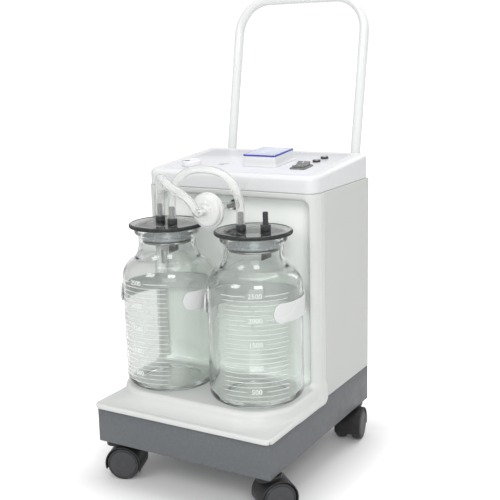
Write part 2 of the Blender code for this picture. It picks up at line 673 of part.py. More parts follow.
# ---- spring clips that hold the jars ---------------------------------------
CLIP_Z0, CLIP_Z1 = 270.5, 298.5
CLIP_IN_R, CLIP_OUT_R = JAR_R + 0.5, JAR_R + 3.2
CLIP_START, CLIP_END = -90 + 50, 270 - 50   # degrees, open at the front
CLIP_FOOT_HALF = 16.0


def build_clip(side):
    band = (arc(0, 0, CLIP_OUT_R, CLIP_START, CLIP_END, 26)
            + arc(0, 0, CLIP_IN_R, CLIP_END, CLIP_START, 26))
    clip = piece(side + "_clip", prism(band, CLIP_Z0, CLIP_Z1), "clip", JAR_CENTRE[side])
    add(clip, "add_foot_" + side,
        block(-CLIP_FOOT_HALF, CLIP_FOOT_HALF, JAR_R + 2.2, RECESS_Y - JAR_Y - GAP,
              CLIP_Z0 + 4, CLIP_Z1 - 4))


# ---- inline filter and inlet port ------------------------------------------
FILTER_X, FILTER_Y, FILTER_Z = FILTER = (0.0, -74.0, 416.0)
FILTER_R = 27.0
FILTER_COLLAR = 13.0            # collar end, from the joint between the halves
# name, rotation, (radius, height) points from flange to shoulder
FILTER_HALVES = (
    ("front", TO_FRONT, [(FILTER_R, 2.8), (FILTER_R - 3.0, 3.4), (FILTER_R - 4.0, 7.0)]),
    ("back", TO_REAR, [(FILTER_R, 2.2), (FILTER_R - 3.5, 2.8), (FILTER_R - 4.5, 7.5)]))
PORT_AT = (INLET_X, RECESS_Y - GAP, INLET_Z)
PORT_COLLAR = 5.0               # collar end, in front of the port's origin
# (radius, height) profile: stem through the wall, collar and barb
PORT = [(0, -20.0), (5.0, -20.0), (5.0, -0.3), (8.0, -0.3), (8.0, PORT_COLLAR),
        (4.0, PORT_COLLAR), (4.0, 18.0), (3.4, 22.0), (0, 22.0)]
PORT_BORE_R = 2.2               # also the filter's


def build_filter():
    """Two moulded halves that meet in a flange, a barb on each."""
    for name, turn, shoulder in FILTER_HALVES:
        profile = [(0, 0.2), (FILTER_R, 0.2)] + shoulder
        profile += [(FILTER_R - 9.0, 9.6), (7.0, 11.0), (6.5, FILTER_COLLAR),
                    (4.0, FILTER_COLLAR), (4.0, 22.0), (3.4, 25.5), (0, 25.5)]
        half = piece("filter_" + name, lathe(profile, 24), "filter", FILTER, turn)
        cut(half, "cut_filter_" + name, cylinder(PORT_BORE_R, -5, 50, 8))


def build_inlet_port():
    port = piece("inlet_port", lathe(PORT, 14), "black", PORT_AT, TO_FRONT)
    cut(port, "cut_port", cylinder(PORT_BORE_R, -40, 50, 8))


# ---- tubing ----------------------------------------------------------------
TUBE_OD, TUBE_ID = 12.6, 9.6
TUBE_Z = COLLAR_TOP + GAP       # tube ends on the lids
FILTER_TUBE = FILTER_COLLAR + GAP   # tube ends on the filter, from its middle


def build_tube(name, controls, **options):
    piece(name, pipe(spline(controls), TUBE_OD / 2, TUBE_ID / 2, 10, **options), "silicone")


def build_vacuum_tube():
    """From the left jar's vacuum nozzle to the front of the filter."""
    x, y, _ = nozzle_at("left", -1)
    build_tube("vacuum_tube", [
        (x, y, TUBE_Z),
        (x, y, 424),
        (x + 0.8, y - 0.6, 447),
        (x + 6.5, y - 4.5, 457.5),
        (x + 17.0, y - 15.5, 459.5),
        (x + 31, y - 27.0, 456),
        (x + 46, y - 33.5, 450.5),
        (x + 64, y - 37, 444.5),
        (FILTER_X - 10, FILTER_Y - 34.5, 435.5),
        (FILTER_X - 2.5, FILTER_Y - 35.0, FILTER_Z + 10.5),
        (FILTER_X, FILTER_Y - 32.0, FILTER_Z + 3.0),
        (FILTER_X, FILTER_Y - 27, FILTER_Z),
        (FILTER_X, FILTER_Y - 21.0, FILTER_Z),
        (FILTER_X, FILTER_Y - FILTER_TUBE, FILTER_Z)])


def build_link_tube():
    """Arch between the two jars."""
    x0, y0, _ = nozzle_at("left", 1)
    x1, y1, _ = nozzle_at("right", -1)
    build_tube("link_tube", [
        (x0, y0, TUBE_Z),
        (x0, y0, 425),
        (x0 + 2.0, y0 + 2.5, 446),
        (x0 + 13, y0 + 4.5, 463),
        (x0 + 31, y0 + 5, 474),
        ((x0 + x1) / 2 - 3, (y0 + y1) / 2, 478),
        (x1 - 36, y1 - 1, 475.5),
        (x1 - 17, y1 - 0.5, 464.5),
        (x1 - 4.5, y1, 446),
        (x1, y1, 426),
        (x1, y1, TUBE_Z)])


def build_inlet_tube():
    """From the back of the filter to the inlet port."""
    build_tube("inlet_tube", [
        (FILTER_X, FILTER_Y + FILTER_TUBE, FILTER_Z),
        (FILTER_X, FILTER_Y + 25, FILTER_Z),
        (FILTER_X, FILTER_Y + 45, FILTER_Z - 0.7),
        (INLET_X, -16, INLET_Z + 0.2),
        (INLET_X, PORT_AT[1] - PORT_COLLAR - GAP, INLET_Z)], side=Vector((1, 0, 0)))


# ---- push handle -----------------------------------------------------------
HANDLE_X, HANDLE_R, HANDLE_WALL = 118.75, 7.75, 1.5
HANDLE_BEND = 56.0              # radius of the upper bends
HANDLE_LEAN = math.radians(10.5)
HANDLE_REF_Y, HANDLE_REF_Z = 194.8, 480.0   # a point the leaning axis passes through
HANDLE_FOOT, HANDLE_TOP = 411.5, 729.0
BRACKET_HALF_X, BRACKET_REAR = 14.0, 199.0
BRACKET_Z0, BRACKET_Z1 = 398.0, 437.0


def handle_y(z):
    """Depth of the leaning handle at height z."""
    return HANDLE_REF_Y + (z - HANDLE_REF_Z) * math.tan(HANDLE_LEAN)


def build_handle():
    left = [(-HANDLE_X, HANDLE_FOOT), (-HANDLE_X, 560.0)]
    left += arc(-HANDLE_X + HANDLE_BEND, HANDLE_TOP - HANDLE_BEND, HANDLE_BEND, 180, 90, 5)
    outline = left + [(-x, z) for x, z in reversed(left)]
    path = [(x, handle_y(z), z) for x, z in outline]
    piece("handle_tube", pipe(path, HANDLE_R, HANDLE_R - HANDLE_WALL, 12), "handle")


def build_handle_bracket(side, sign):
    """Block on the rear panel with a leaning socket for the handle's end."""
    outline = round_rect(-BRACKET_HALF_X, BRACKET_HALF_X, Y_REAR + GAP, BRACKET_REAR,
                         (0, 0, 9, 9), 4)
    bracket = piece("handle_bracket_" + side, prism(outline, BRACKET_Z0, BRACKET_Z1), "black",
                    (sign * HANDLE_X, 0, 0))
    socket = cylinder(HANDLE_R + 0.4, HANDLE_FOOT - 2.5, 500, 20)
    for vert in socket.verts:
        vert.co.y += handle_y(vert.co.z)
    cut(bracket, "cut_bracket_" + side, socket)


# ---- vacuum pump inside the cabinet ----------------------------------------
MOTOR_X, MOTOR_Y, MOTOR_Z = MOTOR = (0.0, 92.0, 205.0)
MOTOR_R, MOTOR_HALF, MOTOR_BORE_R = 52.0, 50.0, 20.6
MOTOR_CHAMFER = 4.0
CORE_HALF = MOTOR_HALF - 3      # half length of the rotor core
CYLINDER_X, CYLINDER_DY = MOTOR_X - 80, (-18.0, 18.0)
FAN_BLADES = 6
# (radius, distance along +X from the motor's centre): crank disc, core, fan hub
ROTOR = [(0, -94), (4.0, -94), (4.0, -84), (15.0, -84), (15.0, -76), (5.0, -76),
         (5.0, -CORE_HALF), (20.0, -CORE_HALF), (20.0, CORE_HALF), (5.0, CORE_HALF),
         (5.0, 66), (12.0, 66), (12.0, 80), (4.0, 80), (4.0, 86), (0, 86)]


def build_motor():
    shoulder_r, shoulder = MOTOR_R - MOTOR_CHAMFER, MOTOR_HALF - MOTOR_CHAMFER
    profile = [(MOTOR_BORE_R, -MOTOR_HALF), (shoulder_r, -MOTOR_HALF), (MOTOR_R, -shoulder),
               (MOTOR_R, shoulder), (shoulder_r, MOTOR_HALF), (MOTOR_BORE_R, MOTOR_HALF)]
    motor = piece("pump_motor", lathe(profile, 24, closed=True), "cast_alu", MOTOR, TO_RIGHT)
    add(motor, "add_motor_foot",
        block(-38, 38, MOTOR_Y - 36, MOTOR_Y + 36, CHASSIS_TOP + GAP, MOTOR_Z - 40),
        at=(0, 0, 0), turn=(0, 0, 0))


def build_rotor():
    """Shaft with rotor core, cooling fan and crank disc."""
    rotor = piece("pump_rotor", lathe(ROTOR, 16), "steel", MOTOR, TO_RIGHT)
    add(rotor, "add_fan",
        joined(turned(block(9.0, 42.0, -1.2, 1.2, 67.0, 79.0), 360 / FAN_BLADES * k, "Z")
               for k in range(FAN_BLADES)))


def build_pump_head():
    """Crankcase and two cylinders, open towards the motor."""
    head = piece("pump_head",
                 block(MOTOR_X - 108, MOTOR_X - 52, MOTOR_Y - 34, MOTOR_Y + 34,
                       CHASSIS_TOP + GAP, MOTOR_Z + 34), "cast_alu")
    profile = [(0, MOTOR_Z + 30), (15.5, MOTOR_Z + 30), (15.5, MOTOR_Z + 74),
               (13.0, MOTOR_Z + 78), (0, MOTOR_Z + 78)]
    for dy in CYLINDER_DY:
        add(head, "add_cyl_%d" % int(dy), lathe(profile, 20), (CYLINDER_X, MOTOR_Y + dy, 0))
    cut(head, "cut_crankcase", cylinder(24.0, -100, -40, 24), MOTOR, TO_RIGHT)


# ---- casters: stem and hood, axle, two wheels ------------------------------
# In a caster's own frame +X is the trailing direction and the outer wheel is
# on the -Y side.
WHEEL_R, WHEEL_W, WHEEL_GAP = 25.0, 15.0, 12.6
TRAIL = 14.0                    # axle behind the stem
WHEEL_Y = WHEEL_GAP / 2 + WHEEL_W / 2
HOOD_OUT_R, HOOD_IN_R, HOOD_HALF = 28.4, 26.2, 21.4
WEB_R, WEB_HALF = 27.0, WHEEL_GAP / 2 - 0.8
AXLE_R, AXLE_HALF, AXLE_HOLE_R = 2.8, 19.0, 3.2
AXLE_AT = (TRAIL, 0, WHEEL_R)
# (radius, height) profiles; the wheel has a blind hub bore on the side facing
# the web and is plain on the other
STEM = [(0, 54.0), (5.0, 54.0), (5.0, 74.0), (4.0, 75.0), (0, 75.0)]
WHEEL_HALF = WHEEL_W / 2
WHEEL = [(0, WHEEL_HALF - 1.6), (3.3, WHEEL_HALF - 1.6), (3.3, -WHEEL_HALF),
         (WHEEL_R - 1.5, -WHEEL_HALF), (WHEEL_R, -WHEEL_HALF + 2.0),
         (WHEEL_R, WHEEL_HALF - 2.0), (WHEEL_R - 2.0, WHEEL_HALF), (0, WHEEL_HALF)]


def build_caster_body(name, pivot):
    """Hood over the wheels, web between them, flat swivel head and stem."""
    hood = (arc(TRAIL, WHEEL_R, HOOD_OUT_R, -22, 198, 11)
            + arc(TRAIL, WHEEL_R, HOOD_IN_R, 198, -22, 11))
    body = piece("caster_%s_hood" % name, prism_y(hood, HOOD_HALF, -HOOD_HALF), "caster",
                 parent=pivot, sharp=30)
    web = arc(TRAIL, WHEEL_R, WEB_R, -10, 190, 10)
    web += [(TRAIL - 9.0, WHEEL_R - 9.0), (TRAIL + 9.0, WHEEL_R - 9.0)]
    add(body, "add_web_" + name, prism_y(web, WEB_HALF, -WEB_HALF))
    add(body, "add_head_" + name, prism(plate(19, 16, 12, 3, x=TRAIL - 10), 52.0, 58.6))
    add(body, "add_stem_" + name, lathe(STEM, 20))
    cut(body, "cut_axle_" + name, turned(cylinder(AXLE_HOLE_R, -30, 30, 12), 90, "X"), AXLE_AT)


def build_caster(name, side_x, side_y, degrees):
    pivot = link_object("pivot_" + name, None, (side_x * CASTER_X, side_y * CASTER_Y, 0),
                        (0, 0, math.radians(degrees)), None)
    build_caster_body(name, pivot)
    piece("caster_%s_axle" % name, turned(cylinder(AXLE_R, -AXLE_HALF, AXLE_HALF, 12), 90, "X"),
          "steel", AXLE_AT, parent=pivot)
    for wheel, sign in (("outer", -1), ("inner", 1)):
        piece("caster_%s_wheel_%s" % (name, wheel), turned(lathe(WHEEL, 20), -90 * sign, "X"),
              "wheel", (TRAIL, sign * WHEEL_Y, WHEEL_R), parent=pivot, sharp=30)


# ---- assembly --------------------------------------------------------------
build_base()
build_chassis()
build_front_shell()
build_side_panels()
build_rear_panel()
build_power_inlet()
build_top_cover()
build_gauge()
build_gauge_dial()
build_gauge_needle()
build_regulator()
build_switch()
build_fuse_caps()
for jar_side, jar_sign in SIDES:
    build_jar(jar_side)
    build_lid(jar_side)
    build_lid_seal(jar_side)
    build_clip(jar_side)
    build_handle_bracket(jar_side, jar_sign)
for nozzle_row in NOZZLES:
    build_nozzle(*nozzle_row)
build_float()
build_filter()
build_inlet_port()
build_vacuum_tube()
build_link_tube()
build_inlet_tube()
build_handle()
build_motor()
build_rotor()
build_pump_head()
for caster_row in CASTERS:
    build_caster(*caster_row)
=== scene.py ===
"""Vacuum pump on four casters, with two lidded jars in front of a cabinet and a push handle.

+Z is up, the front faces -Y, and "left" is -X (left as seen from the front). Lengths are in
millimetres and heights are from the floor. The frame's origin is higher, at the raised pad
under the base, so every mesh is lowered by DROP as it is made.
"""
from math import atan2, cos, pi, radians, sin, sqrt, tan

import bmesh
import bpy
import numpy as np
from mathutils import Matrix, Vector


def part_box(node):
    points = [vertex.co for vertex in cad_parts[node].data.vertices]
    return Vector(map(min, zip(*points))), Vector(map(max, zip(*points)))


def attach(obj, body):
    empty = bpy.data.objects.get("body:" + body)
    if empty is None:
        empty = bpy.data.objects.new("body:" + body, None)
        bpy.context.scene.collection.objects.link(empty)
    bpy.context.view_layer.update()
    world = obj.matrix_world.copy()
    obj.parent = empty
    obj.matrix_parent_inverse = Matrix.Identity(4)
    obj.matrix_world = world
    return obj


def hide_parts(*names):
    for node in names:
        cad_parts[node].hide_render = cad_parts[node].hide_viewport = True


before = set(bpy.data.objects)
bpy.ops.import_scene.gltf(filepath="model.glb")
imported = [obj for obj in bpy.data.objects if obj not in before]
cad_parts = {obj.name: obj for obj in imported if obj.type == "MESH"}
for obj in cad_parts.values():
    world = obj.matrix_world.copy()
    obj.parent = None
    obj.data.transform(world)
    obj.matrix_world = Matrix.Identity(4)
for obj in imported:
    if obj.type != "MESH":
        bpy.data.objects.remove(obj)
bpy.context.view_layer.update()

MM = 0.001
PAD_Z = 59.0                    # underside of the pad below the base
DROP = PAD_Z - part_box("base_skirt")[0].z * 1000.0
SCENE = bpy.context.scene
SIDES = (("left", -1), ("right", 1))

# ---- driving dimensions ----
BASE_X, BASE_Y = 151.3, 173.45          # half width and half depth of the base
FRAME_Y, FRAME_BACK = -21.8, 10.0       # front and back of the upright part of the front shell
SHEET_Z, SEAM_Z = 119.1, 439.7          # bottom and top of the side and rear panels
RECESS_X, RECESS_Y, RECESS_Z = 137.0, 4.5, 429.0    # recess: half width, back wall, top
PLINTH_Z = 142.0                        # top of the step the jars stand on
JAR_X, JAR_Y, JAR_R = 76.5, -74.1, 70.75
COVER_FRONT_Z, COVER_REAR_Z = 464.6, 480.0
TILT = atan2(COVER_REAR_Z - COVER_FRONT_Z, BASE_Y - FRAME_Y)
LID_Z0, LID_Z1, LID_R = 386.8, 393.3, 56.6
PLUG_R, PLUG_Z = 33.5, 366.0            # part of the lid inside the jar's neck


def cover_z(y):
    """Height of the sloping top of the cover."""
    return COVER_FRONT_Z + (y - FRAME_Y) * tan(TILT)


def panel_matrix(x, y):
    """Places a part on the sloping top, its Z square to the slope."""
    return Matrix.Translation((x, y, cover_z(y))) @ Matrix.Rotation(TILT, 4, "X")


def turn_z(angle):
    return Matrix.Rotation(radians(angle), 4, "Z")


def jar_matrix(sign):
    return Matrix.Translation((sign * JAR_X, JAR_Y, 0))


TO_FRONT = Matrix.Rotation(radians(90), 4, "X")         # local +Z becomes -Y
TO_REAR = Matrix.Rotation(radians(-90), 4, "X")         # local +Z becomes +Y
# swap axes: plan (x, y, z) -> (z, x, y), and (x, y, z) -> (x, z, y)
YZ_PLAN = Matrix(((0, 0, 1, 0), (1, 0, 0, 0), (0, 1, 0, 0), (0, 0, 0, 1)))
XZ_PLAN = Matrix(((1, 0, 0, 0), (0, 0, 1, 0), (0, 1, 0, 0), (0, 0, 0, 1)))


# =============================================================== materials ==
class Shader:
    """Builds a material's node tree around its Principled BSDF."""

    def __init__(self, material):
        self.material = material
        material.use_nodes = True
        self.tree = material.node_tree
        self.principled = self.tree.nodes["Principled BSDF"]
        self.position = self.node("ShaderNodeTexCoord").outputs["Object"]

    def feed(self, node, inputs):
        """Link the sockets among the inputs and set the plain values."""
        for key, value in inputs.items():
            if isinstance(value, bpy.types.NodeSocket):
                self.tree.links.new(value, node.inputs[key])
            else:
                node.inputs[key].default_value = value

    def node(self, kind, inputs=None, **properties):
        node = self.tree.nodes.new(kind)
        for key, value in properties.items():
            setattr(node, key, value)
        self.feed(node, inputs or {})
        return node

    def noise(self, scale, detail=3.0, rough=0.55, stretch=None):
        vector = self.position
        if stretch:
            mapping = self.node("ShaderNodeMapping", {"Vector": vector, "Scale": stretch})
            vector = mapping.outputs["Vector"]
        settings = {"Vector": vector, "Scale": scale, "Detail": detail, "Roughness": rough}
        return self.node("ShaderNodeTexNoise", settings).outputs["Fac"]

    def remap(self, value, low, high, start=0.3, end=0.7):
        """Map start..end to low..high."""
        return self.node("ShaderNodeMapRange", {
            "Value": value, "From Min": start, "From Max": end,
            "To Min": low, "To Max": high}).outputs["Result"]

    def calc(self, operation, *values):
        node = self.node("ShaderNodeMath", dict(enumerate(values)), operation=operation)
        return node.outputs[0]

    def mix(self, factor, first, second):
        """Blend two colours, each an RGB tuple or a socket."""
        first, second = [(*colour, 1.0) if isinstance(colour, tuple) else colour
                         for colour in (first, second)]
        inputs = {0: factor, 6: first, 7: second}
        return self.node("ShaderNodeMix", inputs, data_type="RGBA").outputs[2]

    def bump(self, height, strength, distance):
        settings = {"Strength": strength, "Distance": distance, "Height": height}
        return self.node("ShaderNodeBump", settings).outputs["Normal"]

    def separate(self):
        return self.node("ShaderNodeSeparateXYZ", {0: self.position}).outputs


DUST_RGB = (0.62, 0.61, 0.58)


def solid(name, rgb, rough, metal=0.0, drift=0.035, rough_drift=0.07, grain=1400.0, bump=0.10,
          depth=0.00012, wear=None, wear_amount=0.0, coat=0.0, brushed=None, dust=0.0,
          blotch=9.0, extra=None):
    """Opaque material: colour drift, uneven gloss, fine grain, dust and worn edges.

    drift and rough_drift are the spread of colour and roughness, grain and blotch are noise
    scales, bump and depth are the relief, wear is the colour of worn edges, and brushed is
    the stretch of the hairline noise.
    """
    shader = Shader(bpy.data.materials.new(name))
    soft = drift < 0.02         # glossy white mouldings: only soft, slow changes
    patches = shader.noise(blotch, 0.0 if soft else 4.0, 0.5)
    dark = tuple(c * (1 - drift) for c in rgb)
    light = tuple(min(1.0, c * (1 + drift)) for c in rgb)
    colour = shader.mix(shader.remap(patches, 0, 1), dark, light)
    if dust:
        specks = shader.noise(140.0, 5.0, 0.65)
        colour = shader.mix(shader.remap(specks, 0.0, dust, 0.52, 0.8), colour, DUST_RGB)
    gloss = shader.noise(16.0, 0.0, 0.6) if soft else shader.noise(46.0, 5.0, 0.6)
    if wear is not None:
        # pointiness is high on convex edges; noise breaks the wear up
        geometry = shader.node("ShaderNodeNewGeometry")
        edge = shader.remap(geometry.outputs["Pointiness"], 0.0, 1.0, 0.515, 0.60)
        patchy = shader.remap(shader.noise(220.0, 4.0, 0.7), 0.0, wear_amount, 0.42, 0.62)
        colour = shader.mix(shader.calc("MULTIPLY", edge, patchy), colour, wear)
    if brushed:
        relief = shader.noise(90.0, 6.0, 0.75, stretch=brushed)
    elif soft:
        relief = shader.noise(60.0, 0.0, 0.6)
    else:
        relief = shader.noise(grain, 2.0, 0.6)
    shader.feed(shader.principled, {
        "Base Color": colour,
        "Roughness": shader.remap(gloss, max(0.02, rough - rough_drift),
                                  min(1.0, rough + rough_drift)),
        "Normal": shader.bump(relief, bump, depth),
        "Metallic": metal,
        "IOR": 1.46,
        "Coat Weight": coat,
        "Coat Roughness": 0.08,
        **(extra or {})})
    return shader.material


def clear(name, rgb, rough, transmission=1.0, ior=1.49, shadow=0.85, bump=0.05, wave=40.0,
          rough_drift=0.02, smear=0.0, extra=None):
    """Transparent material with light shadows, streaks and slight waviness.

    shadow is how far shadows are let through, wave the noise scale of the waviness, and
    smear extra roughness in the dull patches.
    """
    shader = Shader(bpy.data.materials.new(name))
    colour = shader.mix(shader.remap(shader.noise(14.0, 3.0, 0.5), 0, 1),
                        tuple(c * 0.985 for c in rgb), tuple(min(1, c * 1.01) for c in rgb))
    gloss = shader.remap(shader.noise(60.0, 5.0, 0.7), max(0.0, rough - rough_drift),
                         rough + rough_drift + smear)
    shader.feed(shader.principled, {
        "Base Color": colour,
        "Roughness": gloss,
        "Transmission Weight": transmission,
        "IOR": ior,
        "Normal": shader.bump(shader.noise(wave, 2.0, 0.5), bump, 0.0008),
        **(extra or {})})
    see_through = shader.node("ShaderNodeBsdfTransparent",
                              {"Color": (*[c * 0.97 for c in rgb], 1.0)})
    rays = shader.node("ShaderNodeLightPath")
    mixed = shader.node("ShaderNodeMixShader", {
        "Fac": shader.calc("MULTIPLY", rays.outputs["Is Shadow Ray"], shadow),
        1: shader.principled.outputs["BSDF"],
        2: see_through.outputs["BSDF"]})
    shader.feed(shader.tree.nodes["Material Output"], {"Surface": mixed.outputs["Shader"]})
    return shader.material


MATERIALS = {
    # mouldings, coatings and print
    "base": solid("base_grey_moulding", (0.104, 0.112, 0.120), rough=0.42, drift=0.03,
                  rough_drift=0.06, grain=1500, bump=0.07, wear=(0.24, 0.25, 0.26),
                  wear_amount=0.3, dust=0.012, blotch=5.0),
    "shell": solid("shell_white_moulding", (0.585, 0.598, 0.585), rough=0.32, drift=0.012,
                   rough_drift=0.035, bump=0.012, blotch=5.0),
    "panel": solid("panel_powder_coat", (0.53, 0.54, 0.525), rough=0.46, drift=0.012,
                   rough_drift=0.04, bump=0.05, depth=0.0002, blotch=5.0),
    "cover": solid("cover_white_moulding", (0.645, 0.655, 0.662), rough=0.28, drift=0.01,
                   rough_drift=0.03, bump=0.012, blotch=5.0),
    "film": solid("panel_film", (0.635, 0.64, 0.675), rough=0.24, drift=0.008,
                  rough_drift=0.03, bump=0.02, coat=0.2),
    "film_line": solid("panel_film_print", (0.62, 0.63, 0.67), rough=0.3, drift=0.03),
    "ink": solid("dark_print", (0.035, 0.04, 0.055), rough=0.4, drift=0.05),
    "dial": solid("dial_plate", (0.67, 0.69, 0.735), rough=0.35, drift=0.015, bump=0.04),
    "needle": solid("needle_black", (0.02, 0.02, 0.022), rough=0.35, coat=0.4),
    "knob": solid("knob_white", (0.74, 0.74, 0.77), rough=0.22, drift=0.01, rough_drift=0.03,
                  bump=0.02, coat=0.2),
    "gauge": solid("gauge_housing_white", (0.66, 0.67, 0.68), rough=0.25, drift=0.01,
                   bump=0.02, rough_drift=0.03),
    "blue": solid("window_blue_edge", (0.02, 0.035, 0.42), rough=0.2, drift=0.05, coat=0.5),
    "brass": solid("turned_brass", (0.70, 0.52, 0.25), rough=0.28, metal=1.0,
                   brushed=(1.0, 1.0, 30.0), bump=0.2),
    "black": solid("black_moulding", (0.022, 0.023, 0.025), rough=0.36, drift=0.08,
                   rough_drift=0.10, grain=1500, bump=0.12, wear=(0.10, 0.10, 0.10),
                   wear_amount=0.4),
    "switch": solid("switch_grey", (0.155, 0.157, 0.158), rough=0.34, drift=0.05,
                    rough_drift=0.08, wear=(0.3, 0.3, 0.3), wear_amount=0.3),
    "seal": clear("seal_elastomer", (0.50, 0.545, 0.56), rough=0.25, ior=1.45, shadow=0.4,
                  wave=120.0, rough_drift=0.05, transmission=0.45),
    "rubber": solid("seal_rubber", (0.018, 0.018, 0.019), rough=0.55, drift=0.1,
                    rough_drift=0.1, bump=0.2),
    "clip": solid("clip_white", (0.62, 0.63, 0.625), rough=0.28, drift=0.012,
                  rough_drift=0.04, bump=0.02),
    "handle": solid("handle_paint", (0.685, 0.695, 0.69), rough=0.18, drift=0.01,
                    rough_drift=0.04, bump=0.012, coat=0.5),
    # metals
    "steel_sheet": solid("zinc_sheet", (0.56, 0.57, 0.58), rough=0.34, metal=1.0,
                         brushed=(30.0, 1.0, 1.0), bump=0.25, drift=0.08),
    "cast": solid("cast_aluminium", (0.56, 0.56, 0.57), rough=0.5, metal=1.0, grain=600,
                  bump=0.45, depth=0.0004, drift=0.08),
    "steel": solid("ground_steel", (0.60, 0.60, 0.60), rough=0.26, metal=1.0,
                   brushed=(1.0, 1.0, 30.0), bump=0.2, drift=0.05),
    "screw": solid("plated_screw", (0.62, 0.62, 0.60), rough=0.28, metal=1.0,
                   brushed=(20.0, 1.0, 1.0), bump=0.15, drift=0.06),
    # casters and float
    "hood": solid("caster_hood_nylon", (0.011, 0.011, 0.012), rough=0.42, drift=0.1,
                  rough_drift=0.1, grain=1300, bump=0.2, wear=(0.07, 0.07, 0.074),
                  wear_amount=0.5, dust=0.012),
    "cap": solid("caster_cap", (0.044, 0.045, 0.048), rough=0.5, drift=0.06,
                 rough_drift=0.08, grain=1500, bump=0.25, wear=(0.14, 0.14, 0.14),
                 wear_amount=0.3, dust=0.02),
    "tread": solid("caster_tread", (0.032, 0.033, 0.035), rough=0.62, drift=0.1,
                   rough_drift=0.1, grain=700, bump=0.35, depth=0.0003, dust=0.08),
    "ball": solid("float_ball_white", (0.83, 0.84, 0.83), rough=0.3, extra={
        "Subsurface Weight": 0.1, "Subsurface Radius": (0.006, 0.005, 0.004),
        "Subsurface Scale": 1.0}),
    # clear and smoky plastics, glass
    "glass": clear("jar_glass", (0.893, 0.910, 0.897), rough=0.006, ior=1.38, shadow=1.0,
                   bump=0.02, wave=20.0, rough_drift=0.006, smear=0.008,
                   extra={"Coat Weight": 0.6, "Coat Roughness": 0.01}),
    "ridge": clear("jar_scale_glass", (0.90, 0.925, 0.91), rough=0.30, ior=1.4, shadow=0.8,
                   bump=0.02, wave=100.0, transmission=0.58, rough_drift=0.04),
    "figure": clear("jar_figure_glass", (0.92, 0.94, 0.93), rough=0.35, ior=1.4, shadow=0.7,
                    bump=0.02, wave=100.0, transmission=0.35, rough_drift=0.04),
    "lid": clear("lid_smoke", (0.60, 0.605, 0.60), rough=0.06, ior=1.5, shadow=0.5,
                 bump=0.04, wave=60.0, rough_drift=0.03, smear=0.05),
    "nozzle": solid("nozzle_smoke", (0.034, 0.035, 0.038), rough=0.25, drift=0.08,
                    rough_drift=0.08, bump=0.08, coat=0.3),
    "tube": clear("silicone_tube", (0.93, 0.935, 0.927), rough=0.20, ior=1.13, bump=0.03,
                  wave=120.0, rough_drift=0.04, transmission=0.87),
    "cage": clear("float_cage_plastic", (0.90, 0.91, 0.90), rough=0.25, ior=1.45,
                  shadow=0.6, transmission=0.5),
    "filter": clear("filter_shell", (0.82, 0.83, 0.82), rough=0.24, ior=1.42, shadow=0.4,
                    wave=150.0, rough_drift=0.05, transmission=0.25),
    "window": clear("window_acrylic", (0.90, 0.93, 1.0), rough=0.04, shadow=0.9, bump=0.02,
                    wave=20.0, smear=0.03, transmission=0.72),
}


def paint_recess_fill_light(material, rgb):
    """Paint fill light into the shell's recess: its walls get a paler colour than the outside,
    standing in for light that does not reach them.
    """
    shader = Shader(material)
    outside = shader.principled.inputs["Base Color"].links[0].from_socket
    x, y, _ = shader.separate()
    # metres: fades in behind the front face, and inside the recess's half width
    deep = shader.remap(y, 0.0, 1.0, start=-0.020, end=-0.008)
    within = shader.remap(shader.calc("ABSOLUTE", x), 0.0, 1.0, start=0.1365, end=0.1335)
    colour = shader.mix(shader.calc("MULTIPLY", deep, within), outside, rgb)
    shader.feed(shader.principled, {"Base Color": colour})


# painted fill light: the recess walls are coloured paler than the rest of the shell
paint_recess_fill_light(MATERIALS["shell"], rgb=(0.93, 0.955, 0.935))


# ================================================================== shapes ==
# A mesh is a pair (vertices, faces) in millimetres.
def moved(mesh, matrix):
    values = np.array(matrix, float)
    return np.asarray(mesh[0], float) @ values[:3, :3].T + values[:3, 3], mesh[1]


def joined(*parts):
    verts, faces = [], []
    for part_verts, part_faces in parts:
        start = len(verts)
        verts.extend([tuple(p) for p in part_verts])
        faces.extend([tuple(j + start for j in face) for face in part_faces])
    return verts, faces


def turned(profile, steps, closed=False, ripple=None):
    """Lathe (r, z) points about Z; an open profile starts and ends on the axis."""
    verts, rings, faces = [], [], []
    for r, z in profile:
        if r < 1e-6:
            rings.append([len(verts)])
            verts.append((0.0, 0.0, z))
            continue
        rings.append(list(range(len(verts), len(verts) + steps)))
        for k in range(steps):
            angle = 2 * pi * k / steps
            radius = ripple(r, z, angle) if ripple else r
            verts.append((radius * cos(angle), radius * sin(angle), z))
    count = len(rings)
    for i in range(count if closed else count - 1):
        a, b = rings[i], rings[(i + 1) % count]
        for k in range(steps):
            q = (k + 1) % steps
            if len(a) == 1:
                faces.append((a[0], b[q], b[k]))
            elif len(b) == 1:
                faces.append((a[k], a[q], b[0]))
            else:
                faces.append((a[k], a[q], b[q], b[k]))
    return verts, faces


def arc(cx, cy, r, start, end, steps):
    angles = [radians(start + (end - start) * i / steps) for i in range(steps + 1)]
    return [(cx + r * cos(angle), cy + r * sin(angle)) for angle in angles]


def soften(profile, radius, steps, closed=False):
    """Round a profile's corners; open ends and points at or below zero in x stay sharp."""
    out = []
    count = len(profile)
    for i, point in enumerate(profile):
        corner = Vector(point)
        back = Vector(profile[i - 1]) - corner
        ahead = Vector(profile[(i + 1) % count]) - corner
        is_end = not closed and i in (0, count - 1)
        if is_end or point[0] < 1e-6 or back.angle(ahead) > radians(165):
            out.append(point)
            continue
        reach = min(radius, back.length * 0.45, ahead.length * 0.45)
        start = corner + back.normalized() * reach
        end = corner + ahead.normalized() * reach
        for k in range(steps + 1):
            t = k / steps
            q = start * (1 - t) ** 2 + corner * 2 * t * (1 - t) + end * t * t
            out.append((q.x, q.y))
    return out


